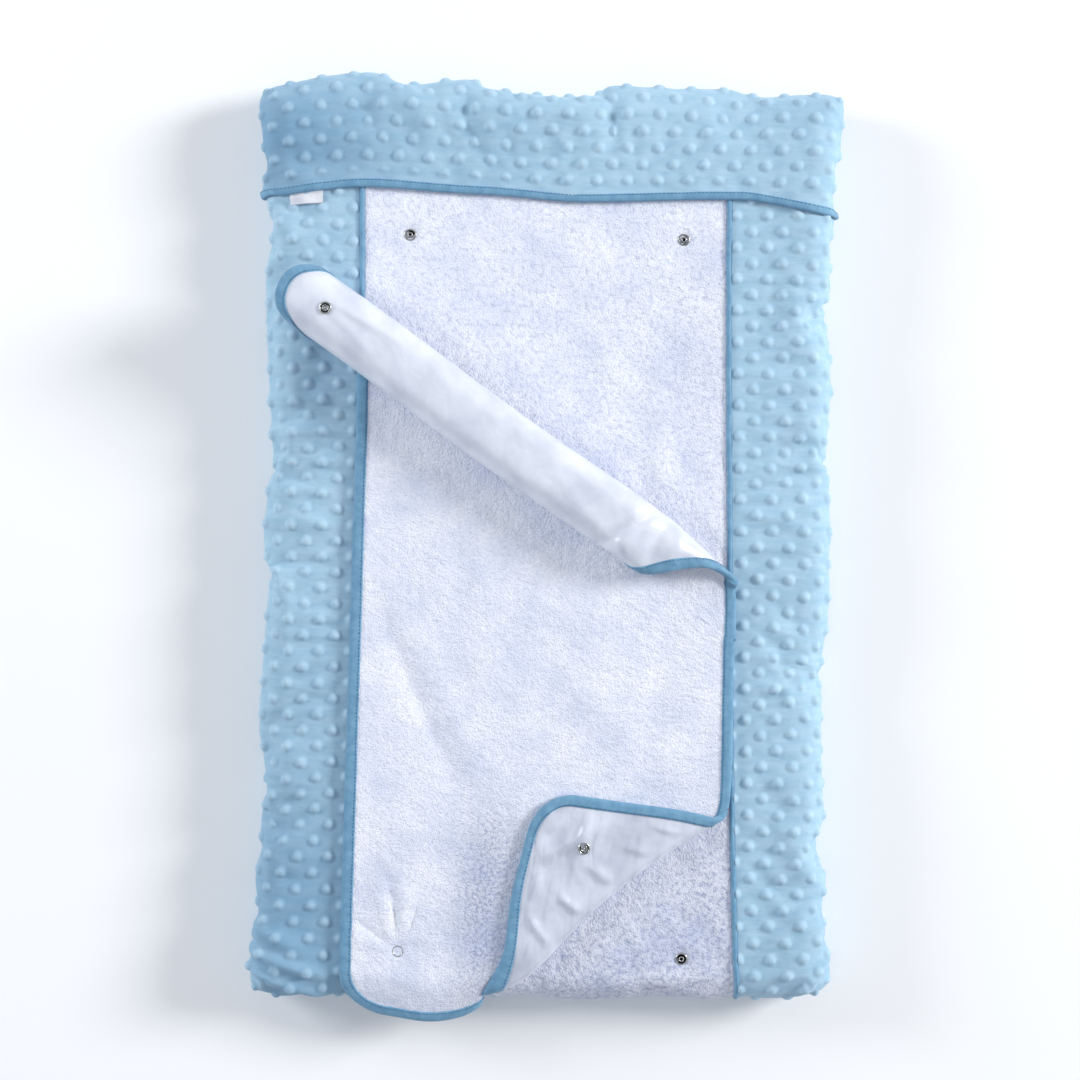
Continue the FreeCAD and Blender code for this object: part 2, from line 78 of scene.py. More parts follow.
# ---- sizes, read from the frame ---------------------------------------------------------------
HALF_WIDTH = node_box("back_panel")[1][0]
HALF_LENGTH = node_box("back_panel")[1][1]
TOP = node_box("centre_panel")[1][2]
SEAM = TOP / 2
HOOD_EDGE = node_box("head_band")[0][1]
MOUTH = node_box("side_band_left")[1][1]
RIM = 25.0  # how far in from the side seam the cover starts to curve over
LIP = 40.0  # cloth from there down to the side seam
OUTER_X = HALF_WIDTH - RIM + LIP  # half the flat cloth's width, and half its length
OUTER_Y = HALF_LENGTH - RIM + LIP
SEAM_GROOVE = 3.0
BESIDE_PIPING = 1.6  # how far from the middle of a piping its panels end
SHEET_THICK = 4.0
BACKING_THICK = 0.8
LINER_HALF = node_box("liner_binding")[1][0]
LINER_FOOT = node_box("liner_binding")[0][1]
LINER_LENGTH = 740.0
LINER_HEAD = LINER_FOOT + LINER_LENGTH
LINER_ROUND = 38.0
DOT_PITCH = 26.5
DOT_ROW = 13.7
DOT_RADIUS = 4.9
DOT_HEIGHT = 2.9

# the fold across the corner: a point on it, its direction and the way to the folded corner
fold_joint = joint_named("corner_fold")
FOLD_START = np.array(fold_joint["pos_m"][:2]) / MM
FOLD_WAY = -np.array(fold_joint["axis"][:2])
FOLD_OUT = np.array([-FOLD_WAY[1], FOLD_WAY[0]])
# the roll: its direction, the way across it to the head, and where it starts
roll_joint = joint_named("roll_lift")
ROLL_WAY = np.array(roll_joint["axis"][:2])
ROLL_OUT = np.array([-ROLL_WAY[1], ROLL_WAY[0]])
ROLL_START = float(np.array(roll_joint["pos_m"][:2]) @ ROLL_OUT) / MM

# ---- helpers for smooth shapes ----------------------------------------------------------------


def smooth(x, low=0.0, high=1.0):
    """0 below low, 1 above high and a smooth step between them."""
    t = np.clip((x - low) / (high - low), 0, 1)
    return t * t * (3 - 2 * t)


def waves(x, y, length, seed):
    """Gentle ripples of about a given length, between -1 and 1, the same on every run."""
    octaves = 5
    rng = np.random.default_rng(seed)
    total = 0.0
    for _ in range(octaves):
        angle, phase = rng.uniform(0, 2 * math.pi, 2)
        stretch = rng.uniform(0.75, 1.5)
        along = x * math.cos(angle) + y * math.sin(angle)
        total = total + np.sin(2 * math.pi * along / (length * stretch) + phase)
    return total / octaves


def crumple(x, y, length, seed):
    """Sharp creases with flat facets between them, between 0 and 1."""
    drift = waves(x, y, 2.2 * length, seed + 50) * 0.5 * length
    rng = np.random.default_rng(seed)
    total = 0.0
    for _ in range(4):
        angle, phase = rng.uniform(0, 2 * math.pi, 2)
        stretch = rng.uniform(0.8, 1.7)
        along = x * math.cos(angle) + y * math.sin(angle) + drift
        turn = along / (length * stretch) + phase
        total = total + 1 - 2 * np.abs(turn - np.floor(turn) - 0.5)
    return total / 4


def stroke(x, y, start, end, width, height):
    """A soft ridge (or a groove, if height is negative) along a line, fading at its ends."""
    start, end = np.array(start, float), np.array(end, float)
    way = end - start
    reach = np.linalg.norm(way)
    way = way / reach
    along = (x - start[0]) * way[0] + (y - start[1]) * way[1]
    aside = (x - start[0]) * -way[1] + (y - start[1]) * way[0]
    fade = smooth(along, -0.25 * reach, 0.25 * reach) * (1 - smooth(along, 0.75 * reach, 1.25 * reach))
    return height * np.exp(-((aside / width) ** 2)) * fade


def add_strokes(height, x, y, folds, gain=1.0):
    """A height with a list of folds (start, end, width, height) added to it."""
    for start, end, width, most in folds:
        height = height + gain * stroke(x, y, start, end, width, most)
    return height


def unit(vectors):
    """Vectors made one long."""
    length = np.linalg.norm(vectors, axis=-1, keepdims=True)
    return vectors / np.maximum(length, 1e-9)


def stacked(*parts):
    """Coordinates put together as points, broadcast against each other."""
    return np.stack(np.broadcast_arrays(*parts), axis=-1)


def ringed(grid):
    """A grid of points with its border rows and columns doubled."""
    return np.pad(grid, ((1, 1), (1, 1), (0, 0)), mode="edge")


def row_for_each(share, columns):
    """A row of values, once for each share."""
    return np.repeat(columns[None, :], len(share), axis=0)


def lengths_along(path):
    """How far along a path each of its points lies."""
    return np.concatenate([[0], np.cumsum(np.linalg.norm(np.diff(path, axis=0), axis=1))])


def curve_through(x, points):
    """A smooth curve through a few (x, value) points."""
    places = [p[0] for p in points]
    index = np.interp(x, places, range(len(places)))
    base = np.clip(np.floor(index).astype(int), 0, len(places) - 2)
    values = np.array([p[1] for p in points], float)
    return values[base] + (values[base + 1] - values[base]) * smooth(index - base)


# ---- the pad's form ---------------------------------------------------------------------------
HOOD_EDGE_SHAPE = ((-251, 1), (-162, 7), (-60, 4), (30, 0), (164, 4), (243, -8))


def hood_edge(x):
    """The hood's free edge dips and lifts across the pad."""
    return HOOD_EDGE + curve_through(x, HOOD_EDGE_SHAPE)


def seam_left(y):
    return -LINER_HALF + 0 * y


def seam_right(y):
    """The right-hand seam runs a little slantwise, out towards the foot."""
    return 156.0 + 14.0 * np.clip((HOOD_EDGE - y) / 700.0, -0.2, 1.0)


def plan_shape(x, y):
    """Pull the sides in between the corners and let the two ends belly out, as in the photograph.

    left and right are half widths, foot and head half lengths; the head has a peak and two dents.
    """
    left = 242.5 + 9.0 * np.clip(np.abs(y - 20) / 390, 0, 1.1) ** 2
    right = 244.5 + 7.0 * np.clip(np.abs(y) / 390, 0, 1.1) ** 4
    wide = np.where(x < 0, left, right) / HALF_WIDTH
    across = np.clip(np.abs(x) / 250, 0, 1) ** 3
    foot = 398 - np.where(x < 0, 4, 10) * across
    head = 396 - 4 * across + 9 * np.exp(-(((x + 158) / 62) ** 2))
    head = head + 2.5 * np.exp(-(((x + 75) / 36) ** 2)) - 1.5 * np.exp(-(((x - 15) / 30) ** 2))
    long = np.where(y < 0, foot, head) / HALF_LENGTH
    shift = smooth(np.abs(y), 0.55 * HALF_LENGTH, HALF_LENGTH)
    return x * wide, y * (1 + (long - 1) * shift)


def crown(x, y):
    """How far the stuffed top stands above its rim at a place."""
    across = 1 - np.clip(np.abs(x) / HALF_WIDTH, 0, 1) ** 2.5
    along = 1 - np.clip(np.abs(y) / HALF_LENGTH, 0, 1) ** 4
    return 2.6 * (across * along) - 1.0 + 0.7 * waves(x, y, 210, 3)


def pad_form(fx, fy, side=1, grow=0.0):
    """The smooth form of the pad under a place (fx, fy) of its flat cloth; side -1 is below."""
    core_x, core_y = HALF_WIDTH - RIM, HALF_LENGTH - RIM
    over_x = np.maximum(np.abs(fx) - core_x, 0)
    over_y = np.maximum(np.abs(fy) - core_y, 0)
    most = np.maximum(over_x, over_y)
    squarish = np.maximum((over_x**4 + over_y**4) ** 0.25, 1e-6)
    angle = np.clip(most / LIP, 0, 1) * math.pi / 2
    reach = (RIM + grow) * np.sin(angle) - SEAM_GROOVE * smooth(most, LIP - 6, LIP)
    x = np.sign(fx) * (np.minimum(np.abs(fx), core_x) + reach * over_x / squarish)
    y = np.sign(fy) * (np.minimum(np.abs(fy), core_y) + reach * over_y / squarish)
    x, y = plan_shape(x, y)
    rise = (SEAM + grow * np.cos(angle)) * np.cos(angle)
    if side > 0:
        rise = rise + crown(x, y) * np.cos(angle)
    return stacked(x, y, SEAM + side * rise)


SIM_PITCH = 9.0
SIM_FRAMES = 20
SIM_CAP = 6.5


def flat_grid(pitch):
    """Places over the whole flat cloth of one side of the pad, rows by columns."""
    columns = np.linspace(-OUTER_X, OUTER_X, int(2 * OUTER_X / pitch) + 1)
    rows = np.linspace(-OUTER_Y, OUTER_Y, int(2 * OUTER_Y / pitch) + 1)
    return np.meshgrid(columns, rows)


def closed_pad(fx, fy):
    """Points and faces of the pad's smooth form, its two sides welded along the side seam."""
    rows, columns = fx.shape
    upper, lower = pad_form(fx, fy, 1), pad_form(fx, fy, -1)
    number = np.arange(rows * columns).reshape(rows, columns)
    below = number.copy()
    inner = (slice(1, -1), slice(1, -1))
    below[inner] = rows * columns + np.arange((rows - 2) * (columns - 2)).reshape(rows - 2, columns - 2)
    points = np.concatenate([upper.reshape(-1, 3), lower[inner].reshape(-1, 3)])
    faces = grid_faces(rows, columns)
    faces += [[int(below.flat[k]) for k in face[::-1]] for face in grid_faces(rows, columns)]
    return points, faces, below


def inflate(points, faces, held):
    """Blow the closed form up as cloth with a little spare width and return where it settles."""
    mesh = bpy.data.meshes.new("stuffing")
    mesh.from_pydata((points * MM).tolist(), [], faces)
    piece = bpy.data.objects.new("stuffing", mesh)
    bpy.context.scene.collection.objects.link(piece)
    group = piece.vertex_groups.new(name="held")
    for index, weight in enumerate(held):
        group.add([index], float(weight), "REPLACE")
    settings = piece.modifiers.new("cloth", "CLOTH").settings
    settings.quality = 6
    settings.mass = 0.3
    settings.bending_stiffness = 0.4
    settings.use_pressure = True
    settings.uniform_pressure_force = 4.0
    settings.shrink_min = -0.06
    settings.effector_weights.gravity = 0.0
    settings.vertex_group_mass = "held"
    scene = bpy.context.scene
    for number in range(1, SIM_FRAMES + 1):
        scene.frame_set(number)
    settled = piece.evaluated_get(bpy.context.evaluated_depsgraph_get()).data
    result = np.empty(len(points) * 3)
    settled.vertices.foreach_get("co", result)
    scene.frame_set(1)
    bpy.data.objects.remove(piece, do_unlink=True)
    return result.reshape(-1, 3) / MM


def refined(field, times):
    """A finer copy of a grid of values, smoothly filled in between."""
    for axis in (0, 1):
        count = field.shape[axis]
        places = np.linspace(0, count - 1, (count - 1) * times + 1)
        base = np.clip(np.floor(places).astype(int), 0, count - 2)
        share = (places - base).reshape([-1 if k == axis else 1 for k in range(3)])
        field = np.take(field, base, axis) * (1 - share) + np.take(field, base + 1, axis) * share
        for _ in range(2):
            wide = np.concatenate([np.take(field, [0], axis)] * times + [field], axis)
            wide = np.concatenate([wide] + [np.take(field, [-1], axis)] * times, axis)
            total = np.cumsum(wide, axis)
            high = np.take(total, np.arange(times, wide.shape[axis]), axis)
            low = np.take(total, np.arange(0, wide.shape[axis] - times), axis)
            mean = (high - low) / times
            start = times // 2
            field = np.take(mean, np.arange(start, start + places.size), axis)
    return field


def stuffed_offsets():
    """How far the inflated cover leaves the smooth form, over a fine grid, for each side."""
    fx, fy = flat_grid(SIM_PITCH)
    points, faces, below = closed_pad(fx, fy)
    inside = np.minimum(OUTER_X - np.abs(fx), OUTER_Y - np.abs(fy))
    held_above = smooth(inside, LIP, LIP + 55).reshape(-1)
    held_below = smooth(inside, 0.5 * LIP, LIP).reshape(fx.shape)[1:-1, 1:-1].reshape(-1)
    moved = inflate(points, faces, np.concatenate([held_above, held_below])) - points
    length = np.linalg.norm(moved, axis=1, keepdims=True)
    moved *= np.minimum(1, SIM_CAP / np.maximum(length, 1e-6))
    upper = moved[: fx.size].reshape(*fx.shape, 3)
    lower = moved[below]
    calm = 1 - 0.65 * (1 - smooth(np.abs(fx), 165, 185)) * (fy < 0)
    return {1: refined(upper * calm[..., None], 6), -1: refined(lower, 6)}


def sample(field, fx, fy):
    """The value of a grid over the flat cloth at some places."""
    rows, columns = field.shape[:2]
    column = np.clip((np.asarray(fx, float) + OUTER_X) / (2 * OUTER_X), 0, 1) * (columns - 1)
    row = np.clip((np.asarray(fy, float) + OUTER_Y) / (2 * OUTER_Y), 0, 1) * (rows - 1)
    j = np.clip(np.floor(column).astype(int), 0, columns - 2)
    i = np.clip(np.floor(row).astype(int), 0, rows - 2)
    a, b = (row - i)[..., None], (column - j)[..., None]
    near = field[i, j] * (1 - b) + field[i, j + 1] * b
    far = field[i + 1, j] * (1 - b) + field[i + 1, j + 1] * b
    return near * (1 - a) + far * a


def pad_point(fx, fy, side=1, grow=0.0):
    """Where cloth laid out flat at (fx, fy) comes to on the stuffed pad."""
    fx, fy = np.broadcast_arrays(np.asarray(fx, float), np.asarray(fy, float))
    place = pad_form(fx, fy, side, grow) + sample(STUFFED[side], fx, fy)
    place[..., 2] = np.maximum(place[..., 2], 0.0)
    return place


def pad_top(x, y):
    """Height of the pad's top face under a place in plan, running on level past its rims."""
    return TOP + crown(np.clip(x, -190, 190), np.clip(y, -350, 350))


# ---- meshes from grids ------------------------------------------------------------------------


def grid_normals(points):
    """Unit normals of a grid of points, rows by columns."""
    down = np.gradient(points, axis=0)
    across = np.gradient(points, axis=1)
    return unit(np.cross(across, down))


def make_mesh(name, points, faces, material, cloth=None, tone=None):
    """A smooth mesh object; cloth is the flat place of each point, tone a shade for each point."""
    mesh = bpy.data.meshes.new(name)
    flat = np.asarray(points, float).reshape(-1, 3) * MM
    mesh.from_pydata(flat.tolist(), [], faces)
    if cloth is not None:
        layer = mesh.attributes.new("cloth", "FLOAT_VECTOR", "POINT")
        layer.data.foreach_set("vector", (np.asarray(cloth, float).reshape(-1) * MM).astype(np.float32))
    if tone is not None:
        layer = mesh.attributes.new("tone", "FLOAT", "POINT")
        layer.data.foreach_set("value", np.asarray(tone, float).reshape(-1).astype(np.float32))
    mesh.shade_smooth()
    mesh.materials.append(material)
    piece = bpy.data.objects.new(name, mesh)
    bpy.context.scene.collection.objects.link(piece)
    return piece


def brush(piece, patches):
    """Paint shade on a piece in soft darkening patches (x, y, radius x, radius y, share), stored on each
    point.
    """
    points = np.empty(3 * len(piece.data.vertices))
    piece.data.vertices.foreach_get("co", points)
    x, y, _ = points.reshape(-1, 3).T / MM
    share = 0 * x
    for cx, cy, wide, long, most in patches:
        share = share + most * np.exp(-(((x - cx) / wide) ** 2) - ((y - cy) / long) ** 2)
    layer = piece.data.attributes.new("painted_shade", "FLOAT", "POINT")
    layer.data.foreach_set("value", np.clip(share, 0, 0.8).astype(np.float32))
    return piece


def grid_faces(rows, columns, closed_rows=False, closed_columns=False, flip=False):
    """Quads of a grid, which may close on itself either way."""
    down = rows if closed_rows else rows - 1
    across = columns if closed_columns else columns - 1
    i, j = np.meshgrid(np.arange(down), np.arange(across), indexing="ij")
    i2, j2 = (i + 1) % rows, (j + 1) % columns
    quads = np.stack([i * columns + j, i * columns + j2, i2 * columns + j2, i2 * columns + j], axis=-1)
    quads = quads.reshape(-1, 4)
    if flip:
        quads = quads[:, ::-1]
    return quads.tolist()


def border_of(points):
    """Which points of a grid lie on its border."""
    border = np.ones(points.shape[:2], bool)
    border[1:-1, 1:-1] = False
    return border


def cloth_panel(name, fx, fy, points, material, tone=None, depth=3.0):
    """A panel of thick cloth from a grid, its edges turned in by a depth."""
    lift = ringed(grid_normals(points))
    points = ringed(points)
    points = points - lift * border_of(points)[..., None] * depth
    cloth = ringed(stacked(fx, fy, 0 * fx))
    if tone is not None:
        tone = np.pad(tone, 1, mode="edge")
    return make_mesh(name, points, grid_faces(*points.shape[:2]), material, cloth, tone)


def tube(name, path, radius, material, sides=12, closed=False, up=(0, 0, 1)):
    """A cord of one radius along a path."""
    path = np.asarray(path, float)
    if closed:
        way = np.roll(path, -1, axis=0) - np.roll(path, 1, axis=0)
    else:
        way = np.gradient(path, axis=0)
    way = unit(way)
    side = unit(np.cross(way, np.array(up, float)))
    rise = np.cross(side, way)
    turn = np.linspace(0, 2 * math.pi, sides, endpoint=False)
    ring = side[:, None] * np.cos(turn)[None, :, None] + rise[:, None] * np.sin(turn)[None, :, None]
    cloth = stacked(lengths_along(path)[:, None], (turn * radius)[None, :], 0.0)
    faces = grid_faces(len(path), sides, closed_rows=closed, closed_columns=True)
    if not closed:
        faces += end_caps(len(path), sides)
    return make_mesh(name, path[:, None] + ring * radius, faces, material, cloth)


def end_caps(rows, columns):
    """The two faces that close the ends of a tube."""
    last = (rows - 1) * columns
    return [list(range(columns)), [last + k for k in range(columns)][::-1]]


# ---- materials --------------------------------------------------------------------------------


class Nodes:
    """A short way to write a node tree."""

    def __init__(self, name):
        self.material = bpy.data.materials.new(name)
        self.material.use_nodes = True
        self.tree = self.material.node_tree
        self.shader = self.tree.nodes["Principled BSDF"]

    def add(self, kind, inputs=None, **settings):
        node = self.tree.nodes.new(kind)
        for key, value in settings.items():
            setattr(node, key, value)
        for key, value in (inputs or {}).items():
            self.put(node, key, value)
        return node

    def put(self, node, key, value):
        socket = node.inputs[key]
        if isinstance(value, bpy.types.NodeSocket):
            self.tree.links.new(value, socket)
        else:
            socket.default_value = value

    def shade(self, **constants):
        for key, value in constants.items():
            self.put(self.shader, key.replace("_", " "), value)

    def cloth(self):
        """Where a point lies on the flat cloth, in metres."""
        return self.add("ShaderNodeAttribute", attribute_name="cloth").outputs["Vector"]

    def drawn_cloth(self):
        """The same, drawn out along the cloth's first direction."""
        inputs = {0: self.cloth(), 1: (0.3, 1.0, 1.0)}
        return self.add("ShaderNodeVectorMath", inputs, operation="MULTIPLY").outputs[0]

    def solid(self):
        """A point's place in its piece, for pieces that aren't cloth."""
        return self.add("ShaderNodeTexCoord").outputs["Object"]

    def tone(self, name="tone"):
        return self.add("ShaderNodeAttribute", attribute_name=name).outputs["Fac"]

    def noise(self, scale, detail=3.0, rough=0.55, vector=None):
        place = vector or self.cloth()
        settings = {"Vector": place, "Scale": scale, "Detail": detail, "Roughness": rough}
        return self.add("ShaderNodeTexNoise", settings).outputs["Fac"]

    def cells(self, scale, feature="F1"):
        inputs = {"Vector": self.cloth(), "Scale": scale, "Randomness": 1.0}
        return self.add("ShaderNodeTexVoronoi", inputs, feature=feature).outputs["Distance"]

    def between(self, value, low, high, out_low=0.0, out_high=1.0):
        inputs = {"Value": value, "From Min": low, "From Max": high, "To Min": out_low, "To Max": out_high}
        return self.add("ShaderNodeMapRange", inputs).outputs["Result"]

    def maths(self, operation, first, second):
        return self.add("ShaderNodeMath", {0: first, 1: second}, operation=operation).outputs[0]

    def mix(self, factor, first, second):
        inputs = {0: factor, 6: first, 7: second}
        return self.add("ShaderNodeMix", inputs, data_type="RGBA").outputs[2]

    def bump(self, height, strength, distance, under=None):
        inputs = {"Height": height, "Strength": strength, "Distance": distance}
        if under is not None:
            inputs["Normal"] = under
        return self.add("ShaderNodeBump", inputs).outputs["Normal"]


def colour(red, green, blue):
    """A colour given as it shows on a screen, 0 to 255, for a shader."""
    def linear(c):
        c /= 255
        return c / 12.92 if c <= 0.04045 else ((c + 0.055) / 1.055) ** 2.4
    return (linear(red), linear(green), linear(blue), 1.0)


def plush_material():
    """Short blue pile, paler on the crests of its dimples (a painted highlight), darker in patches of
    painted shade, with a brushed sheen.
    """
    n = Nodes("dimple_plush")
    pile = n.noise(1500, 2.0)
    brushed = n.noise(150, 5.0, 0.6, n.drawn_cloth())
    base = n.mix(n.between(brushed, 0.35, 0.65), colour(163, 198, 219), colour(182, 212, 230))
    # painted highlight: the crests of the dimples, given by the tone attribute, are made paler
    crest_highlighted = n.mix(n.between(n.tone(), 0.0, 1.0, 0.0, 0.36), base, colour(200, 224, 238))
    shaded = n.mix(n.between(pile, 0.35, 0.65, 0.22, 0.0), crest_highlighted, colour(96, 142, 178))
    # painted shade: soft patches darken the plush towards a shadow blue, less on the dimples' crests
    painted_shade = n.maths("MULTIPLY", n.tone("painted_shade"), n.between(n.tone(), 0.0, 1.0, 1.1, 0.6))
    shaded = n.mix(painted_shade, shaded, colour(74, 124, 162))
    n.shade(Base_Color=shaded, Roughness=0.75, Sheen_Weight=0.4, Sheen_Roughness=0.4)
    n.shade(Sheen_Tint=colour(214, 232, 246), Specular_IOR_Level=0.2)
    fine = n.bump(pile, 0.5, 0.0006)
    n.shade(Normal=n.bump(brushed, 0.35, 0.0012, fine))
    return n.material


def towelling_material(name, tuft_scale, depth):
    """White looped pile: small crowded loops with lilac-grey shadow between its tufts."""
    n = Nodes(name)
    loops = n.cells(640)
    tufts = n.noise(tuft_scale, 5.0, 0.65)
    drift = n.noise(22, 4.0, 0.55)
    white = n.mix(n.between(drift, 0.35, 0.62), colour(224, 229, 246), colour(246, 248, 254))
    deep = n.mix(n.between(loops, 0.2, 0.8, 0.0, 0.3), white, colour(198, 204, 230))
    tufted = n.mix(n.between(tufts, 0.36, 0.5, depth, 0.0), deep, colour(186, 194, 222))
    # painted shade: soft patches darken the towelling towards lilac grey, less on the tops of its tufts
    painted_shade = n.maths("MULTIPLY", n.tone("painted_shade"), n.between(tufts, 0.36, 0.56, 1.0, 0.45))
    tufted = n.mix(painted_shade, tufted, colour(122, 134, 172))
    n.shade(Base_Color=tufted, Roughness=0.92, Sheen_Weight=0.25, Sheen_Roughness=0.6)
    n.shade(Specular_IOR_Level=0.15)
    inverse = n.maths("SUBTRACT", 1.0, loops)
    fine = n.bump(inverse, 0.6, 0.0009)
    n.shade(Normal=n.bump(tufts, 0.5 + depth / 4, 0.0014, fine))
    return n.material


def film_material(name, crinkle, dark, light):
    """White knit with a thin glossy waterproof film over it, crinkled more or less."""
    n = Nodes(name)
    knit = n.noise(1300, 1.0)
    creases = n.cells(42, "DISTANCE_TO_EDGE")
    soft = n.noise(30, 3.0, 0.5)
    white = n.mix(n.between(soft, 0.35, 0.65), dark, light)
    streaks = n.noise(27, 2.5, 0.5, n.drawn_cloth())
    ridge = n.maths("ABSOLUTE", n.maths("SUBTRACT", streaks, 0.5), 0.0)
    n.shade(Base_Color=white, Roughness=0.3, Coat_Weight=0.6 * crinkle, Coat_Roughness=0.12)
    n.shade(Subsurface_Weight=0.08, Subsurface_Radius=(0.004, 0.004, 0.004))
    fine = n.bump(knit, 0.12, 0.0003)
    edge = n.bump(n.between(creases, 0.0, 0.12), 0.12, 0.0008, fine)
    n.shade(Normal=n.bump(ridge, 0.8 * crinkle, 0.012, edge))
    return n.material


def weave_material(name, dark, light, sheen=0.3, thread=0.00045):
    """Plain woven tape, its two threads crossing."""
    n = Nodes(name)
    scale = 1.0 / thread / 6.3  # a wave texture of scale 1 has 6.3 bands to a metre
    warp, weft = (
        n.add("ShaderNodeTexWave", {"Vector": n.cloth(), "Scale": scale}, bands_direction=way).outputs["Fac"]
        for way in "XY"
    )
    cross = n.maths("MULTIPLY", warp, weft)
    fade = n.noise(110, 3.0, 0.6)
    base = n.mix(n.between(fade, 0.3, 0.7), dark, light)
    shaded = n.mix(n.between(cross, 0.0, 0.7, 0.0, 0.25), base, light)
    n.shade(Base_Color=shaded, Roughness=0.7, Sheen_Weight=sheen, Sheen_Roughness=0.4)
    n.shade(Specular_IOR_Level=0.3)
    fine = n.bump(cross, 0.4, 0.0003)
    n.shade(Normal=n.bump(fade, 0.3, 0.0012, fine))
    return n.material


def metal_material(name, shade, rough):
    """Bright plated metal with fine wear."""
    n = Nodes(name)
    wear = n.noise(900, 4.0, 0.6, n.solid())
    tint = n.mix(n.between(wear, 0.35, 0.75), shade, tuple(0.7 * c for c in shade[:3]) + (1.0,))
    tint = n.mix(n.tone(), tint, (0.012, 0.012, 0.014, 1.0))
    n.shade(Base_Color=tint, Metallic=1.0)
    n.shade(Roughness=n.between(wear, 0.3, 0.7, rough, rough + 0.15))
    n.shade(Normal=n.bump(wear, 0.08, 0.0002))
    return n.material


def mottled_material(name, grain, dark, light, rough, bump):
    """One soft grain of colour and height, for what is inside the cover and for the floor."""
    n = Nodes(name)
    soft = n.noise(*grain, n.solid())
    n.shade(Base_Color=n.mix(soft, dark, light), Roughness=rough)
    if bump:
        n.shade(Normal=n.bump(soft, bump, 0.001))
    return n.material


PLUSH = plush_material()
TOWEL = towelling_material("towelling", 330, 0.35)
TOWEL_SHAGGY = towelling_material("towelling_shaggy", 230, 0.55)
# painted shade: the folded corner's film (and the flat stretch's, lying face down) gets darker colours than
# the same film on the roll
FILM_PAINTED_SHADE = film_material("backing_film", 1.0, colour(192, 197, 212), colour(214, 219, 232))
FILM_SMOOTH = film_material("backing_film_stretched", 0.12, colour(208, 213, 226), colour(228, 232, 242))
BIAS_TAPE = weave_material("bias_tape", colour(96, 143, 176), colour(123, 167, 196))
THREAD = weave_material("thread", colour(62, 108, 146), colour(88, 134, 170), 0.2, 0.0003)
TAB = weave_material("woven_tab", colour(222, 224, 232), colour(240, 241, 246), 0.4, 0.0004)
NICKEL = metal_material("popper_metal", (0.56, 0.56, 0.55, 1.0), 0.18)
SPRING = metal_material("spring_steel", (0.30, 0.30, 0.31, 1.0), 0.30)
FOAM = mottled_material(
    "open_cell_foam", (500, 4.0, 0.7), colour(226, 216, 176), colour(246, 240, 212), 0.95, 0.6)
CASING = mottled_material(
    "casing_film", (60, 3.0, 0.6), colour(226, 229, 236), colour(240, 242, 247), 0.4, 0.3)
PAPER = mottled_material(
    "pale_paper", (3, 2.0, 0.5), (0.93, 0.93, 0.935, 1), (0.95, 0.95, 0.955, 1), 0.9, 0)

# ---- the pad's cover --------------------------------------------------------------------------
STUFFED = stuffed_offsets()


def dot_height(fx, fy, slant=0.0):
    """Dimples of the plush in a staggered grid, 0 to 1."""
    x = fx + slant * fy
    nearest = 1e9
    for shift_x, shift_y in ((0, 0), (DOT_PITCH / 2, DOT_ROW)):
        dx = (x + shift_x + DOT_PITCH / 2) % DOT_PITCH - DOT_PITCH / 2
        dy = (fy + shift_y + DOT_ROW) % (2 * DOT_ROW) - DOT_ROW
        nearest = np.minimum(nearest, dx * dx + dy * dy)
    inside = np.clip(1 - nearest / DOT_RADIUS**2, 0, 1)
    return inside * (1.4 - 0.4 * inside)


PLUSH_SPACING = 1.5
CENTRE_SPACING = 2.0
# folds of the cover: start and end on its flat cloth, width, and height or depth
FOLD_GAIN = 1.5
LEFT_FOLDS = (
    ((-262, -352), (-190, -372), 5, 3.0),
    ((-258, -368), (-176, -396), 5, 3.2),
    ((-262, -330), (-205, -352), 6, 2.2),
    ((-240, -390), (-172, -410), 4, 2.4),
    ((-262, 128), (-185, 122), 6, 1.4),
    ((-262, 100), (-180, 96), 6, 1.7),
    ((-262, 72), (-178, 70), 7, 1.6),
    ((-262, 42), (-180, 44), 7, 1.5),
    ((-262, 14), (-190, 18), 8, 1.2),
    ((-250, 210), (-240, 60), 9, -1.2),
)
RIGHT_FOLDS = (
    ((205, -372), (262, -322), 6, 2.2),
    ((188, -352), (250, -296), 6, 1.8),
    ((222, -392), (262, -352), 5, 2.0),
    ((182, -120), (262, -138), 7, 1.4),
    ((178, -92), (262, -104), 7, 1.1),
    ((180, 150), (262, 138), 8, 1.0),
    ((176, 30), (250, 10), 8, 0.9),
)
HOOD_FOLDS = (
    ((-78, 312), (-32, 370), 11, 2.2),
    ((-34, 308), (14, 368), 11, -1.5),
    ((10, 304), (64, 368), 11, 2.2),
    ((60, 306), (112, 368), 11, -1.4),
    ((112, 308), (166, 370), 10, 1.8),
    ((-180, 322), (-120, 372), 15, 1.4),
    ((-252, 330), (-170, 322), 9, -1.2),
    ((190, 318), (262, 352), 9, 1.6),
    ((212, 306), (262, 326), 6, 1.6),
)


# painted shade: soft patches (x, y, radius x, radius y, share) where the cloth is darkened to stand for
# shade and shadow
LEFT_PAINTED_SHADE = ((-215, -330, 60, 130, 0.5), (-200, 150, 24, 60, 0.25), (-200, -110, 30, 60, 0.15))
RIGHT_PAINTED_SHADE = ((250, -340, 60, 60, 0.12),)
HOOD_PAINTED_SHADE = ((-235, 350, 105, 60, 0.55), (-40, 345, 30, 60, 0.15), (235, 385, 60, 30, 0.15))
CENTRE_PAINTED_SHADE = ((80, -385, 140, 85, 0.6), (150, -290, 40, 60, 0.4), (150, 160, 50, 120, 0.15))
LINER_PAINTED_SHADE = ((-50, -340, 26, 90, 0.75), (-30, -270, 36, 40, 0.35), (-140, -300, 16, 60, 0.12))


def folded(points, fx, fy, folds, extra=0.0):
    """Push a grid out along its normals by a list of folds and anything extra."""
    lift = add_strokes(extra + 0 * fx, fx, fy, folds, FOLD_GAIN)
    return points + grid_normals(points) * lift[..., None]


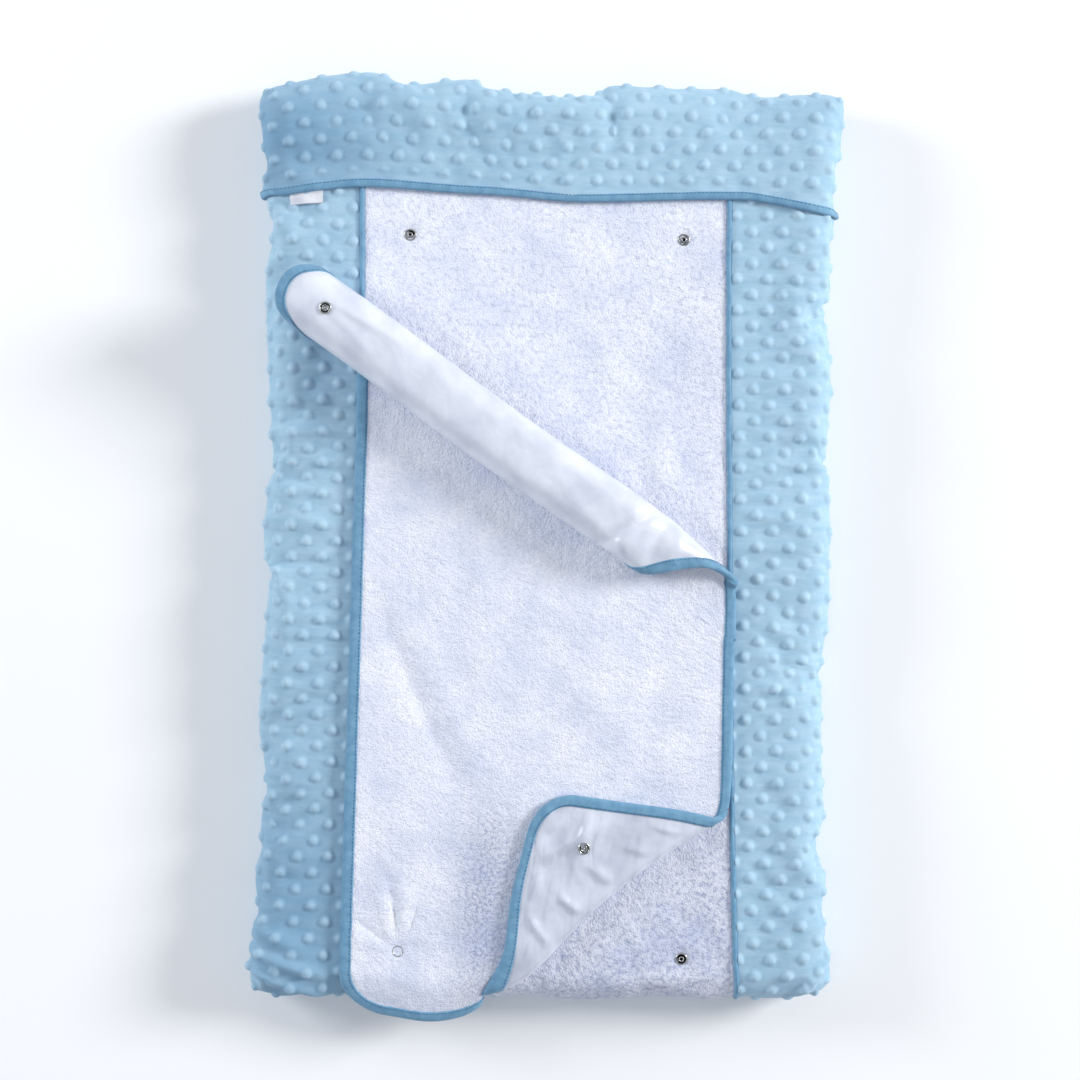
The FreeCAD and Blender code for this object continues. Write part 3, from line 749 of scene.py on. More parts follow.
def plush_panel(name, fx, fy, folds, slant, side=1, grow=0.0, depth=3.0, plain=1.0):
    """A panel of dimple plush from its flat grid; plain is 0 where there are no dimples."""
    points = pad_point(fx, fy, side, grow)
    if side < 0:
        points, fx, fy = points[:, ::-1], fx[:, ::-1], fy[:, ::-1]
    soft = 0.5 * waves(fx, fy, 34, len(name)) + 0.25 * waves(fx, fy, 15, len(name) + 7)
    points = folded(points, fx, fy, folds, soft * (1.0 if side > 0 else 0.3))
    dots = dot_height(fx, fy, slant) * plain
    flatten = np.where(side < 0, 0.35 + 0.65 * smooth(points[..., 2], 0.5, 5.0), 1.0)
    near_seam = smooth(points[..., 2], SEAM - 5, SEAM - 1)
    height = DOT_HEIGHT * dots * flatten * (1 - near_seam * (side < 0))
    points = points + grid_normals(points) * height[..., None]
    if side < 0:
        points[..., 2] = np.maximum(points[..., 2], 0.0)
    return cloth_panel(name, fx, fy, points, PLUSH, dots, depth)


def steps(low, high, spacing):
    """Even places from low to high, about a spacing apart."""
    return np.linspace(low, high, max(2, int(round((high - low) / spacing)) + 1))


def under_hood(fx, fy):
    """0 in the open, 1 well under the hood."""
    return smooth(fy - hood_edge(fx), 8, 26)


def side_band(name, side):
    """A plush side band: from the piping out over the rim to the side seam, and over the foot."""
    share = np.linspace(0, 1, int(100 / PLUSH_SPACING) + 1)
    fy = row_for_each(share, steps(-OUTER_Y, MOUTH, PLUSH_SPACING)).T
    if side < 0:
        low, high, folds, slant = -OUTER_X, seam_left(fy) - BESIDE_PIPING, LEFT_FOLDS, 0.0
    else:
        low, high, folds, slant = seam_right(fy) + BESIDE_PIPING, OUTER_X, RIGHT_FOLDS, 0.035
    fx = low + (high - low) * share[None, :]
    return plush_panel(name, fx, fy, folds, slant, plain=1 - under_hood(fx, fy))


def head_band():
    """The plush hood: from its free edge over the head end to the side seam all round."""
    share = np.linspace(0, 1, int(118 / PLUSH_SPACING) + 1)
    fx = row_for_each(share, steps(-OUTER_X, OUTER_X, PLUSH_SPACING))
    low = hood_edge(fx)
    fy = low + (OUTER_Y - low) * share[:, None]
    plain = smooth(fy - low, 7, 13)
    return plush_panel("head_band_plush", fx, fy, HOOD_FOLDS, 0.0, grow=3.4, depth=2.5, plain=plain)


def back_panel():
    """The plush underside, flat where it lies and dimpled up its sides to the seam."""
    fx, fy = np.meshgrid(steps(-OUTER_X, OUTER_X, 3.0), steps(-OUTER_Y, OUTER_Y, 3.0))
    return plush_panel("back_panel_plush", fx, fy, (), 0.0, side=-1)


CENTRE_FOLDS = (
    ((-120, 180), (-60, 120), 22, -1.0),
    ((60, 80), (120, 20), 14, -1.1),
    ((96, 150), (104, 20), 12, 1.0),
    ((60, -380), (130, -372), 7, 1.2),
    ((-30, 250), (60, 235), 26, 0.8),
)


def pile(shape, height, seed):
    """Uneven loops: a small random height for each point of a grid, in soft clumps."""
    loops = np.random.default_rng(seed).normal(0, 1.0, shape)
    clump = loops
    for axis in (0, 1, 0, 1):
        clump = (np.roll(clump, 1, axis) + np.roll(clump, -1, axis) + 2 * clump) / 4
    return height * (0.45 * loops + 0.9 * clump)


def stud_places():
    """Plan places of the pad's poppers, by name."""
    ends = ("foot_left", "foot_right", "head_left", "head_right")
    return {end: node_centre(f"pad_stud_{end}")[:2] for end in ends}


def popper_dent(x, y, centres, radius, depth):
    """Pile pressed down round each popper."""
    total = 0.0
    for cx, cy in centres:
        total = total - depth * np.exp(-((np.hypot(x - cx, y - cy) / radius) ** 4))
    return total


def centre_panel():
    """The towelling centre between the two pipings, over the foot rim to the side seam."""
    share = np.linspace(0, 1, int(326 / CENTRE_SPACING) + 1)
    fy = row_for_each(share, steps(-OUTER_Y, MOUTH, CENTRE_SPACING)).T
    low, high = seam_left(fy) + BESIDE_PIPING, seam_right(fy) - BESIDE_PIPING
    fx = low + (high - low) * share[None, :]
    points = pad_point(fx, fy)
    lift = 0.5 * waves(fx, fy, 26, 11) + pile(fx.shape, 0.32, 12)
    lift = lift + popper_dent(fx, fy, stud_places().values(), 7.0, 2.4)
    lift = lift - 3.0 * under_hood(fx, fy) + pile(fx.shape, 0.3, 13) * smooth(-fy, 300, 400)
    points = folded(points, fx, fy, CENTRE_FOLDS, lift)
    return cloth_panel("centre_panel_towelling", fx, fy, points, TOWEL_SHAGGY)


def piping(name, side):
    """Corded piping in a seam, from under the hood down to the side seam at the foot."""
    fy = steps(-OUTER_Y + 1.0, MOUTH, 2.5)
    seam = seam_left(fy) if side < 0 else seam_right(fy)
    wander = 0.5 * waves(fy, 0 * fy, 60, 21 + side)
    path = pad_point(seam + wander, fy)
    path = path + np.array([0, 0, 0.4]) * smooth(path[:, 2:3], SEAM, TOP)
    return tube(name, path, 2.2, BIAS_TAPE)


def side_seam():
    """The sewn ridge where top and back panels meet, all round at half height."""
    corners = np.array([(-1, -1), (1, -1), (1, 1), (-1, 1)]) * np.array([OUTER_X, OUTER_Y])
    sides = []
    for k, count in enumerate((150, 240, 150, 240)):
        share = np.linspace(0, 1, count, endpoint=False)[:, None]
        sides.append(corners[k] * (1 - share) + corners[(k + 1) % 4] * share)
    flat = np.concatenate(sides)
    path = pad_point(flat[:, 0], flat[:, 1])
    return tube("side_seam", path, 1.3, PLUSH, sides=8, closed=True)


def inner_layer(name, shrink, sides, material):
    """A plain layer inside the cover, smaller all round by a number of millimetres."""
    fx, fy = np.meshgrid(steps(-OUTER_X, OUTER_X, 9.0), steps(-OUTER_Y, OUTER_Y, 9.0))
    centre = np.array([0, 0, SEAM])
    half = np.array([HALF_WIDTH, HALF_LENGTH, SEAM])
    parts, faces = [], []
    for side in sides:
        points = centre + (pad_point(fx, fy, side) - centre) * (1 - shrink / half)
        offset = len(parts) * fx.size
        new = grid_faces(*fx.shape, flip=side < 0)
        faces += [[k + offset for k in face] for face in new]
        parts.append(points.reshape(-1, 3))
    points = np.concatenate(parts)
    return make_mesh(name, points, faces, material, points)


# the tape's section on the hood's edge: (towards the head, height)
HOOD_TAPE = (
    (-2.6, -1.6), (-3.4, 0.2), (-3.2, 1.7), (-1.6, 2.6), (1.2, 2.7), (3.0, 2.3), (3.6, 1.2), (3.4, -0.6),
)


def hood_binding():
    """Bias tape wrapped round the hood's free edge, with its row of stitches."""
    fx = steps(-OUTER_X, OUTER_X, 2.0)
    rows = [pad_point(fx, hood_edge(fx) + across, grow=2.6 + height) for across, height in HOOD_TAPE]
    points = np.stack(rows, axis=1)
    cloth = stacked(fx[:, None], np.arange(len(HOOD_TAPE))[None, :] * 1.6, 0.0)
    faces = grid_faces(len(fx), len(HOOD_TAPE), closed_columns=True)
    tape = make_mesh("head_band_binding_tape", points, faces, BIAS_TAPE, cloth)
    line = steps(-OUTER_X + 2, OUTER_X - 2, 3.4)
    middles = pad_point(line, hood_edge(line) + 2.4, grow=5.2)
    return tape, stitches("hood_stitches", [middles])


# a stitch: (place along it, swell of its thread)
STITCH = ((-0.5, 0.15), (-0.3, 0.85), (0.0, 1.1), (0.3, 0.85), (0.5, 0.15))
STITCH_LENGTH = 2.4
STITCH_RADIUS = 0.36


def stitches(name, runs):
    """Short thread stitches laid end to end along some lines of places, as one piece."""
    places = np.concatenate(runs)
    way = unit(np.concatenate([np.gradient(run, axis=0) for run in runs]))
    side = unit(np.cross(way, [0, 0, 1.0]))
    places, way, side, rise = (a[:, None, None] for a in (places, way, side, np.cross(side, way)))
    stations, sides = len(STITCH), 5
    along, swell = np.array(STITCH).T[:, :, None, None]
    turn = 2 * math.pi * np.arange(sides)[:, None] / sides
    ring = side * np.cos(turn) + rise * np.sin(turn)
    points = places + way * along * STITCH_LENGTH + ring * STITCH_RADIUS * swell
    one = np.array(grid_faces(stations, sides, closed_columns=True))
    faces = one + stations * sides * np.arange(len(points))[:, None, None]
    flat = stacked(along[..., 0] * STITCH_LENGTH, np.arange(sides)[None, :], 0.0)
    cloth = np.broadcast_to(flat, points.shape)
    return make_mesh(name, points, faces.reshape(-1, 4).tolist(), THREAD, cloth)


def blank_tab():
    """A folded ribbon tab with nothing on it, sewn in under the hood's bound edge."""
    low, high = node_box("blank_tab")
    low, high = low - [6, 0, 0], high - [6, 0, 0]
    columns = steps(low[0], high[0], 1.5)
    rows = steps(low[1] + 1.5, high[1] + 9, 1.2)
    fx, fy = np.meshgrid(columns, rows)
    centre = (low[0] + high[0]) / 2
    tilt = 0.06 * (fx - centre)
    base = pad_point(fx, fy + tilt, grow=1.4)
    base[..., 2] += 0.7 + 0.4 * waves(fx, fy, 22, 41)
    under = base - np.array([0, 0, 0.7])
    fold = np.concatenate([base[::-1], under], axis=0)
    flat_y = np.concatenate([fy[::-1], 2 * rows[0] - fy], axis=0)
    cloth = stacked(np.concatenate([fx, fx]), flat_y, 0 * flat_y)
    faces = grid_faces(fold.shape[0], fold.shape[1], flip=True)
    return make_mesh("blank_tab_ribbon", fold, faces, TAB, cloth)


# ---- poppers ----------------------------------------------------------------------------------


def lathe(profile, sides=40):
    """Points and faces of a turned piece from (radius, height) pairs."""
    turn = np.linspace(0, 2 * math.pi, sides, endpoint=False)
    radius, height = np.array(profile, float).T[:, :, None]
    points = stacked(radius * np.cos(turn), radius * np.sin(turn), height)
    return points.reshape(-1, 3), grid_faces(len(profile), sides, closed_columns=True, flip=True)


def rounded_profile(points):
    """Cut the corners of a profile twice so that its edges look rolled."""
    points = [np.array(p, float) for p in points]
    for _ in range(2):
        cut = [points[0]]
        for a, b in zip(points[:-1], points[1:]):
            cut += [0.75 * a + 0.25 * b, 0.25 * a + 0.75 * b]
        points = cut + [points[-1]]
    return points


STUD = (
    (5.0, 0.0), (5.4, 0.3), (5.3, 0.9), (4.7, 1.2), (4.1, 0.9), (3.7, -0.3), (2.8, -0.4),
    (2.4, 0.5), (2.35, 1.3), (2.45, 1.9), (2.15, 2.4), (1.6, 2.4), (1.3, 2.0), (1.1, -0.2), (0.02, -0.3),
)
SOCKET = (
    (5.0, 0.0), (5.5, 0.5), (5.4, 1.3), (4.8, 1.8), (4.1, 1.6), (3.7, 0.3), (3.2, 0.1),
    (2.9, 1.2), (2.6, 1.5), (2.2, 1.2), (1.9, -0.1), (1.3, -0.2), (1.0, 0.7), (0.6, 1.0), (0.02, 1.1),
)
PRONG_RING = (
    (4.2, 0.0), (5.2, 0.05), (5.4, 0.45), (4.9, 0.8), (4.3, 0.7), (4.0, 0.35), (4.05, 0.05), (4.2, 0.0),
)
GROOVE = 0.45  # parts of a popper lower than this are darkened by wear and shadow


def turned_piece(name, profile, origin, way):
    """A popper part with its face turned along a direction."""
    points, faces = lathe(rounded_profile(profile))
    dark = 1 - smooth(points[:, 2], GROOVE - 0.3, GROOVE + 0.5)
    dark = dark * (np.hypot(points[:, 0], points[:, 1]) < 4.0)
    way = unit(np.array(way, float))
    helper = np.array([1.0, 0, 0]) if abs(way[0]) < 0.9 else np.array([0, 1.0, 0])
    side = unit(np.cross(helper, way))
    other = np.cross(way, side)
    world = np.array(origin) + points @ np.array([side, other, way])
    return make_mesh(name, world, faces, NICKEL, tone=dark)


# ---- the liner --------------------------------------------------------------------------------
LINER_FOLDS = (
    ((-140, -65), (-74, -208), 9, -2.2),
    ((-118, -60), (-50, -200), 13, 1.8),
    ((-98, 60), (-88, -70), 14, 1.4),
    ((-58, 30), (-50, -150), 16, 1.2),
    ((20, 0), (-10, -150), 22, -1.0),
    ((112, -60), (86, -190), 13, -1.7),
    ((138, -90), (112, -200), 14, 1.3),
    ((30, -120), (110, -190), 20, 1.2),
    ((-134, -306), (-123, -342), 5, 1.6),
    ((-127, -292), (-119, -344), 5, -2.0),
    ((-112, -300), (-114, -344), 5, 1.9),
    ((-103, -318), (-113, -346), 4, -1.8),
    ((-152, -330), (-128, -348), 4, -1.6),
    ((-158, -342), (-130, -353), 6, 1.0),
    ((-86, -380), (-70, -330), 10, -1.2),
)
FLAP_FOLDS = (
    ((60, -345), (78, -372), 4, 4.0),
    ((30, -372), (58, -398), 4, 3.2),
    ((86, -318), (108, -350), 5, 3.0),
    ((118, -282), (128, -322), 5, 2.8),
    ((142, -262), (150, -300), 4, 3.2),
    ((96, -392), (60, -402), 5, 2.4),
    ((140, -345), (108, -400), 7, 2.6),
)
FOLD_RADIUS = 5.4
FOLD_LENGTH = 271.0
FIXED_POPPER = node_centre("liner_socket_foot_left")[:2]
OVERLAP = 2.0  # how far two stretches of the sheet run on under each other
LIE = 8.8  # height of the folded corner's outer face above the sheet's underside


def side_shift(u, v):
    """The sheet's left edge spreads towards the foot; its right edge wavers a little."""
    spread = 8.0 * np.clip((110 - v) / 470, 0, 1)
    waver = -1.8 * np.sin(math.pi * np.clip((-v - 20) / 200, 0, 1))
    return np.where(u < 0, spread, waver) * u / LINER_HALF


def liner_flat(u, v):
    """The sheet lying on the pad: its underside's place for a place on the flat cut."""
    x = u + side_shift(u, v)
    y = v + 0.0 * u
    z = pad_top(x, y) + 1.3 + 1.0 * smooth(np.abs(u), 140, 160)
    z = add_strokes(z, u, v, LINER_FOLDS)
    z = z + 0.5 * waves(u, v, 75, 51) + 0.5 * smooth(np.abs(u), 120, 165) * waves(u, v, 48, 52)
    droop = smooth(-v, 376, 430)
    z = z - 16.0 * droop
    near = np.hypot(u - FIXED_POPPER[0], v - FIXED_POPPER[1])
    z = z - 1.6 * np.exp(-((near / 16) ** 2))
    return stacked(x, y, z)


def fold_shift(past, along):
    """How far the sheet creeps inwards, away from the folded corner, near its fold."""
    bow = np.sin(math.pi * np.clip(along / FOLD_LENGTH, 0, 1))
    at_fold = FOLD_RADIUS + 1.0 + 16.0 * bow
    beyond = 13.0 + 6.0 * bow
    bend = math.pi * FOLD_RADIUS
    inside = at_fold * np.exp(np.minimum(past, 0) / 24.0)
    return np.where(past < 0, inside, at_fold + (beyond - at_fold) * smooth(past, 0.5 * bend, bend + 30))


def foot_warp(x, y):
    """The foot edge rounds off towards the fold's lower end, and droops to its left."""
    near = np.exp(-np.abs(x + 27) / 20 - ((y + 415) / 34) ** 2)
    left = smooth(-y, 330, 415) * smooth(-x, 95, 168)
    low = smooth(-y, 340, 415) * np.exp(-(((x + 88) / 30) ** 2))
    return -22.0 * near, 14.0 * near + 6.0 * left - 3.0 * low


def fold_frame(u, v):
    """Distance past the fold line and along it, for a place on the cut."""
    past = (u - FOLD_START[0]) * FOLD_OUT[0] + (v - FOLD_START[1]) * FOLD_OUT[1]
    along = (u - FOLD_START[0]) * FOLD_WAY[0] + (v - FOLD_START[1]) * FOLD_WAY[1]
    return past, along


def liner_fold(u, v):
    """The folded corner: round the bend and back over the sheet, upside down."""
    past = fold_frame(u, v)[0]
    lu, lv = u - past * FOLD_OUT[0], v - past * FOLD_OUT[1]
    line = liner_flat(lu, lv)
    bend = math.pi * FOLD_RADIUS
    turn = np.clip(past / FOLD_RADIUS, 0, math.pi)
    out = FOLD_RADIUS * np.sin(turn) - np.maximum(past - bend, 0)
    x = line[..., 0] + out * FOLD_OUT[0] + 12.0 * smooth(past, 60, 130)
    y = line[..., 1] + out * FOLD_OUT[1]
    under = liner_flat(x, y)[..., 2]
    settle = smooth(past, bend, bend + 55)
    wrinkle = 5.2 * (crumple(u, v, 60, 61) - 0.45) + 3.4 * (crumple(u, v, 24, 62) - 0.45)
    wrinkle = add_strokes(wrinkle, u, v, FLAP_FOLDS)
    wrinkle = wrinkle * smooth(np.minimum(LINER_HALF - u, v - LINER_FOOT), 4, 22)
    rim = smooth(past, bend, bend + 12)
    over_edge = np.maximum(under, pad_top(x, y) - 2.0)
    flat_z = over_edge + LIE + 0.6 + np.maximum(wrinkle + 0.6, 0.0)
    bend_z = line[..., 2] + FOLD_RADIUS * (1 - np.cos(turn)) + 0.7 * wrinkle * rim
    z = bend_z + (flat_z - bend_z) * settle
    return stacked(x, y, z)


ROLL_FOLDS = (
    ((-268, 105), (-205, 96), 5, 1.8),
    ((-266, 112), (-215, 122), 5, 1.5),
    ((36, 66), (60, 150), 6, 2.2),
    ((66, 70), (84, 140), 6, -2.0),
    ((84, 66), (100, 130), 5, 2.2),
    ((-30, 110), (20, 128), 6, 1.2),
)
ROLL_FAR = 38.0  # how far past its start the sheet begins to curl up
ROLL_TOP = 20.0  # length of the roll's flat top
ROLL_RADII = (21.0, 18.2, 15.4, 12.6, 9.8)


def roll_profile():
    """The roll's section: length along the sheet, then place across and up, by steps."""
    step = 0.5
    lengths = np.arange(0, ROLL_FAR + sum(math.pi * radius + ROLL_TOP for radius in ROLL_RADII), step)
    curve = np.zeros_like(lengths)
    start = ROLL_FAR
    for radius in ROLL_RADII:
        end = start + math.pi * radius
        curve[(lengths >= start) & (lengths < end)] = 1 / radius
        start = end + ROLL_TOP
    kernel = np.hanning(25)
    curve = np.convolve(curve, kernel / kernel.sum(), mode="same")
    angle = np.cumsum(curve) * step
    across = np.cumsum(np.cos(angle)) * step
    up = np.cumsum(np.sin(angle)) * step
    return lengths, across, up


ROLL_LENGTHS, ROLL_ACROSS, ROLL_UP = roll_profile()


def roll_frame(u, v):
    """Distance along the roll and past its start, for a place on the cut."""
    return u * ROLL_WAY[0] + v * ROLL_WAY[1], u * ROLL_OUT[0] + v * ROLL_OUT[1] - ROLL_START


def roll_place(along, run):
    """The place on the cut for a distance along the roll and past its start."""
    distance = run + ROLL_START
    return along * ROLL_WAY[0] + distance * ROLL_OUT[0], along * ROLL_WAY[1] + distance * ROLL_OUT[1]


def liner_roll(u, v):
    """The rolled end: flat under the roll, then round and round above itself, outside face out."""
    along, run = roll_frame(u, v)
    tip = smooth(-along, 100, 250)
    on = smooth(run, 0, 95)
    run = run - 27.0 * tip * on
    along = along - 9.0 * tip * on
    crush = smooth(along, 44, 92)
    taper = smooth(along, 80, 150)
    tall = 1.0 - 0.30 * crush - 0.34 * taper
    across = np.interp(run, ROLL_LENGTHS, ROLL_ACROSS)
    up = np.interp(run, ROLL_LENGTHS, ROLL_UP)
    run = run + 0 * along
    middle = 28.0
    sway = 1.2 * np.sin(along / 52.0) * smooth(up, 2, 20)
    across = middle + (across - middle) * (1.0 - 0.04 * crush) + sway
    curl = ROLL_FAR * smooth(along, 60, 110)
    across = np.where(across > curl, curl + (across - curl) * (1 - 0.5 * taper), across)
    across = across - 4.0 * smooth(across, 20, 60)
    along = along + taper * (18.0 * smooth(run, 36, 72) - 8.0 * smooth(run, 90, 160))
    lift = smooth(up, 1.0, 16.0)
    puff = 1.1 * waves(along, run, 90, 71) + 1.6 * (crumple(along, run, 44, 72) - 0.45) * (1 + 2.0 * crush)
    pull = add_strokes(0.0, along, run, ROLL_FOLDS)
    dent = -3.6 * np.exp(-(((along - 50 - 0.45 * (across - 30)) / 6) ** 2))
    up = up * tall + (puff + dent + pull) * lift
    x, y = roll_place(along, across)
    x = x + side_shift(u, v) * (1 - smooth(run, 0, 60))
    rest = liner_flat(x, y)[..., 2]
    level = pad_top(x, y) + 1.6
    z = rest + (level - rest) * smooth(run, 0, 30) + up
    return stacked(x, y, z)


def liner_surface(u, v):
    """The underside of the whole sheet for any place on its flat cut."""
    u, v = np.broadcast_arrays(np.asarray(u, float), np.asarray(v, float))
    past, along = fold_frame(u, v)
    run = roll_frame(u, v)[1]
    flat, fold, roll = liner_flat(u, v), liner_fold(u, v), liner_roll(u, v)
    place = np.where((past > 0)[..., None], fold, np.where((run > 0)[..., None], roll, flat))
    shift = fold_shift(past, along) * smooth(-run, 0, 60)
    warp_x, warp_y = foot_warp(place[..., 0], place[..., 1])
    place[..., 0] += warp_x - shift * FOLD_OUT[0]
    place[..., 1] += warp_y - shift * FOLD_OUT[1]
    return place


def liner_at(u, v, height):
    """A place a height above the sheet's underside, towards its towelling side."""
    step = 0.6
    place = liner_surface(u, v)
    du = liner_surface(u + step, v) - liner_surface(u - step, v)
    dv = liner_surface(u, v + step) - liner_surface(u, v - step)
    return place + unit(np.cross(du, dv)) * np.asarray(height, float)[..., None]


def foot_edge(u, inset=0.0):
    """The cut's foot edge, with its rounded corners, drawn in by an inset."""
    radius = LINER_ROUND - inset
    over = np.clip(np.abs(u) - (LINER_HALF - LINER_ROUND), 0, radius)
    return LINER_FOOT + inset + radius - np.sqrt(radius**2 - over**2)


def fold_edge(u):
    """Height of the fold line on the cut at u."""
    return FOLD_START[1] + (u - FOLD_START[0]) * FOLD_WAY[1] / FOLD_WAY[0]


def roll_edge(u):
    """Height of the roll's start on the cut at u."""
    return (ROLL_START - ROLL_OUT[0] * u) / ROLL_OUT[1]


def main_grid(spacing, inset):
    """Places on the cut of the stretch that lies flat, as (u, v) grids."""
    half = LINER_HALF - inset
    columns = steps(-half, half, spacing)
    low = np.maximum(foot_edge(columns, inset), fold_edge(columns) - OVERLAP)
    high = roll_edge(columns) + OVERLAP
    share = np.linspace(0, 1, int(470 / spacing) + 1)[:, None]
    return row_for_each(share, columns), low + (high - low) * share


def corner_grid(spacing, inset):
    """Places on the cut of the corner past the fold line."""
    half = LINER_HALF - inset
    start = FOLD_START[0] + (LINER_FOOT + inset - FOLD_START[1]) * FOLD_WAY[0] / FOLD_WAY[1]
    columns = steps(start + 0.3, half, spacing)
    low = foot_edge(columns, inset)
    high = np.maximum(fold_edge(columns), low + 0.01)
    share = np.linspace(0, 1, int(180 / spacing) + 1)[:, None]
    return row_for_each(share, columns), low + (high - low) * share


def row_span(run, inset):
    """Left and right ends, along the roll, of the row of the cut that is a run past its start."""
    centre_x, centre_y = LINER_HALF - LINER_ROUND, LINER_HEAD - LINER_ROUND
    radius = LINER_ROUND - inset
    places = np.arange(-420, 300, 0.5)
    ends = []
    for distance in np.atleast_1d(run):
        u, v = roll_place(places, distance)
        over_u = np.maximum(np.abs(u) - centre_x, 0)
        over_v = np.maximum(v - centre_y, 0)
        kept = places[np.hypot(over_u, over_v) <= radius]
        ends.append((kept[0], kept[-1]) if len(kept) else (np.nan, np.nan))
    return np.array(ends)


def roll_grid(spacing, inset):
    """Places on the cut of the rolled stretch, in rows that run along the roll."""
    last = (LINER_HALF - LINER_ROUND) * ROLL_OUT[0] + (LINER_HEAD - LINER_ROUND) * ROLL_OUT[1]
    last = last + LINER_ROUND - inset - ROLL_START
    runs = steps(0.0, last - 1.5, spacing)
    spans = row_span(runs, inset)
    share = np.linspace(0, 1, int(400 / spacing) + 1)[None, :]
    along = spans[:, :1] + (spans[:, 1:] - spans[:, :1]) * share
    return roll_place(along, runs[:, None])


def sheet_layer(name, grid, low, high, material, loops=0.0, flip=False):
    """One layer of the sheet: its outer face, with a rim reaching to its other face."""
    u, v = grid
    outer, inner = (low, high) if flip else (high, low)
    height = outer + 0 * u
    if loops:
        height = height + pile(u.shape, loops, 81) + loops * waves(u, v, 9, 82)
        height = height + popper_dent(u, v, [FIXED_POPPER], 5.5, 1.2)
    points = ringed(liner_at(u, v, height))
    wide_u, wide_v = np.pad(u, 1, mode="edge"), np.pad(v, 1, mode="edge")
    rim = liner_at(wide_u, wide_v, np.full(wide_u.shape, inner))
    run = roll_frame(wide_u, wide_v)[1]
    past = fold_frame(wide_u, wide_v)[0]
    border = border_of(points) & (np.abs(run) > 2 * OVERLAP) & (np.abs(past) > 2 * OVERLAP)
    points[border] = rim[border]
    cloth = stacked(wide_u, wide_v, 0 * wide_u)
    return make_mesh(name, points, grid_faces(*points.shape[:2], flip=flip), material, cloth)


def cut_outline():
    """The cut's edge, clockwise from its head-left corner, with the way inwards."""
    spacing = 2.0
    cx, head, foot = LINER_HALF - LINER_ROUND, LINER_HEAD - LINER_ROUND, LINER_FOOT + LINER_ROUND
    corners = (((-cx, head), 180, 90), ((cx, head), 90, 0), ((cx, foot), 0, -90), ((-cx, foot), -90, -180))
    points, inward = [], []
    for index, (centre, start, end) in enumerate(corners):
        turns = np.radians(np.linspace(start, end, 31))
        out = stacked(np.cos(turns), np.sin(turns))
        arc = np.array(centre) + LINER_ROUND * out
        points.append(arc)
        inward.append(-out)
        following = np.array(corners[(index + 1) % 4][0]) + LINER_ROUND * out[-1]
        count = max(2, int(np.linalg.norm(following - arc[-1]) / spacing))
        share = np.linspace(0, 1, count, endpoint=False)[1:, None]
        points.append(arc[-1] + (following - arc[-1]) * share)
        inward.append(np.repeat(-out[-1:], len(share), axis=0))
    return np.concatenate(points), np.concatenate(inward)


def outline_stretches():
    """The outline split where it crosses the fold and the roll's start: name to list of runs."""
    points, inward = cut_outline()
    past = (points - FOLD_START) @ FOLD_OUT
    run = points @ ROLL_OUT - ROLL_START
    kind = np.where(past > 0, "corner", np.where(run > 0, "roll", "liner"))
    shift = next(k for k in range(len(kind)) if kind[k] != kind[k - 1])
    points, inward, kind = (np.roll(a, -shift, axis=0) for a in (points, inward, kind))
    found = {"liner": [], "corner": [], "roll": []}
    start = 0
    for k in range(1, len(kind) + 1):
        if k == len(kind) or kind[k] != kind[start]:
            spare = 2 if kind[start] == "liner" else 0
            members = np.arange(start - spare, k + spare) % len(kind)
            found[str(kind[start])].append((points[members], inward[members]))
            start = k
    return found


# half a turn of the tape round the edge: (in from the edge, height above the underside)
TAPE = (
    (8.6, 0.1), (8.4, -0.8), (6.0, -1.0), (3.0, -1.0), (0.6, -0.8), (-0.9, 0.3), (-1.2, 2.0),
    (-0.9, 3.8), (0.6, 5.0), (3.0, 5.2), (6.0, 5.1), (8.2, 4.8), (8.7, 3.9),
)


def bound_edge(name, stretches):
    """Bias tape folded round the sheet's edge along some stretches of it, and its stitches."""
    points, faces, cloth, seams = [], [], [], []
    inset, height = np.array(TAPE).T
    around = np.cumsum(np.hypot(np.diff(inset, prepend=inset[0]), np.diff(height, prepend=height[0])))
    count = 0
    for edge, inward in stretches:
        length = lengths_along(edge)
        place = edge[:, None] + inward[:, None] * inset[None, :, None]
        pucker = 0.18 * np.sin(length * 2 * math.pi / 7.0)[:, None] * (np.abs(inset - 5) < 4)[None, :]
        rows = liner_at(place[..., 0], place[..., 1], height[None, :] + pucker)
        points.append(rows.reshape(-1, 3))
        cloth.append(stacked(length[:, None], around[None, :], 0.0).reshape(-1, 3))
        new = grid_faces(len(edge), len(TAPE), closed_columns=True, flip=True)
        new += end_caps(len(edge), len(TAPE))
        faces += [[k + count for k in face] for face in new]
        count += len(edge) * len(TAPE)
        marks = steps(1.5, length[-1] - 1.5, 3.3)
        along = stacked(*(np.interp(marks, length, edge[:, k]) for k in (0, 1)))
        inner = stacked(*(np.interp(marks, length, inward[:, k]) for k in (0, 1)))
        for depth, level in ((7.4, 5.1), (7.4, -1.0)):
            spot = along + inner * depth
            if len(marks) > 2:
                seams.append(liner_at(spot[:, 0], spot[:, 1], np.full(len(marks), level)))
    tape = make_mesh(name, np.concatenate(points), faces, BIAS_TAPE, np.concatenate(cloth))
    return tape, seams


# ---- build ------------------------------------------------------------------------------------


def finish_piece(piece, body, replaced=()):
    """Hang a piece on the empty of the body it rides on (a piece of the flap's blend only has its transform
    baked), and hide the CAD nodes it stands for.
    """
    if body == FLAP_BLEND:
        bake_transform(piece)
    else:
        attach(piece, body)
    if replaced:
        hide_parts(*replaced)
    return piece


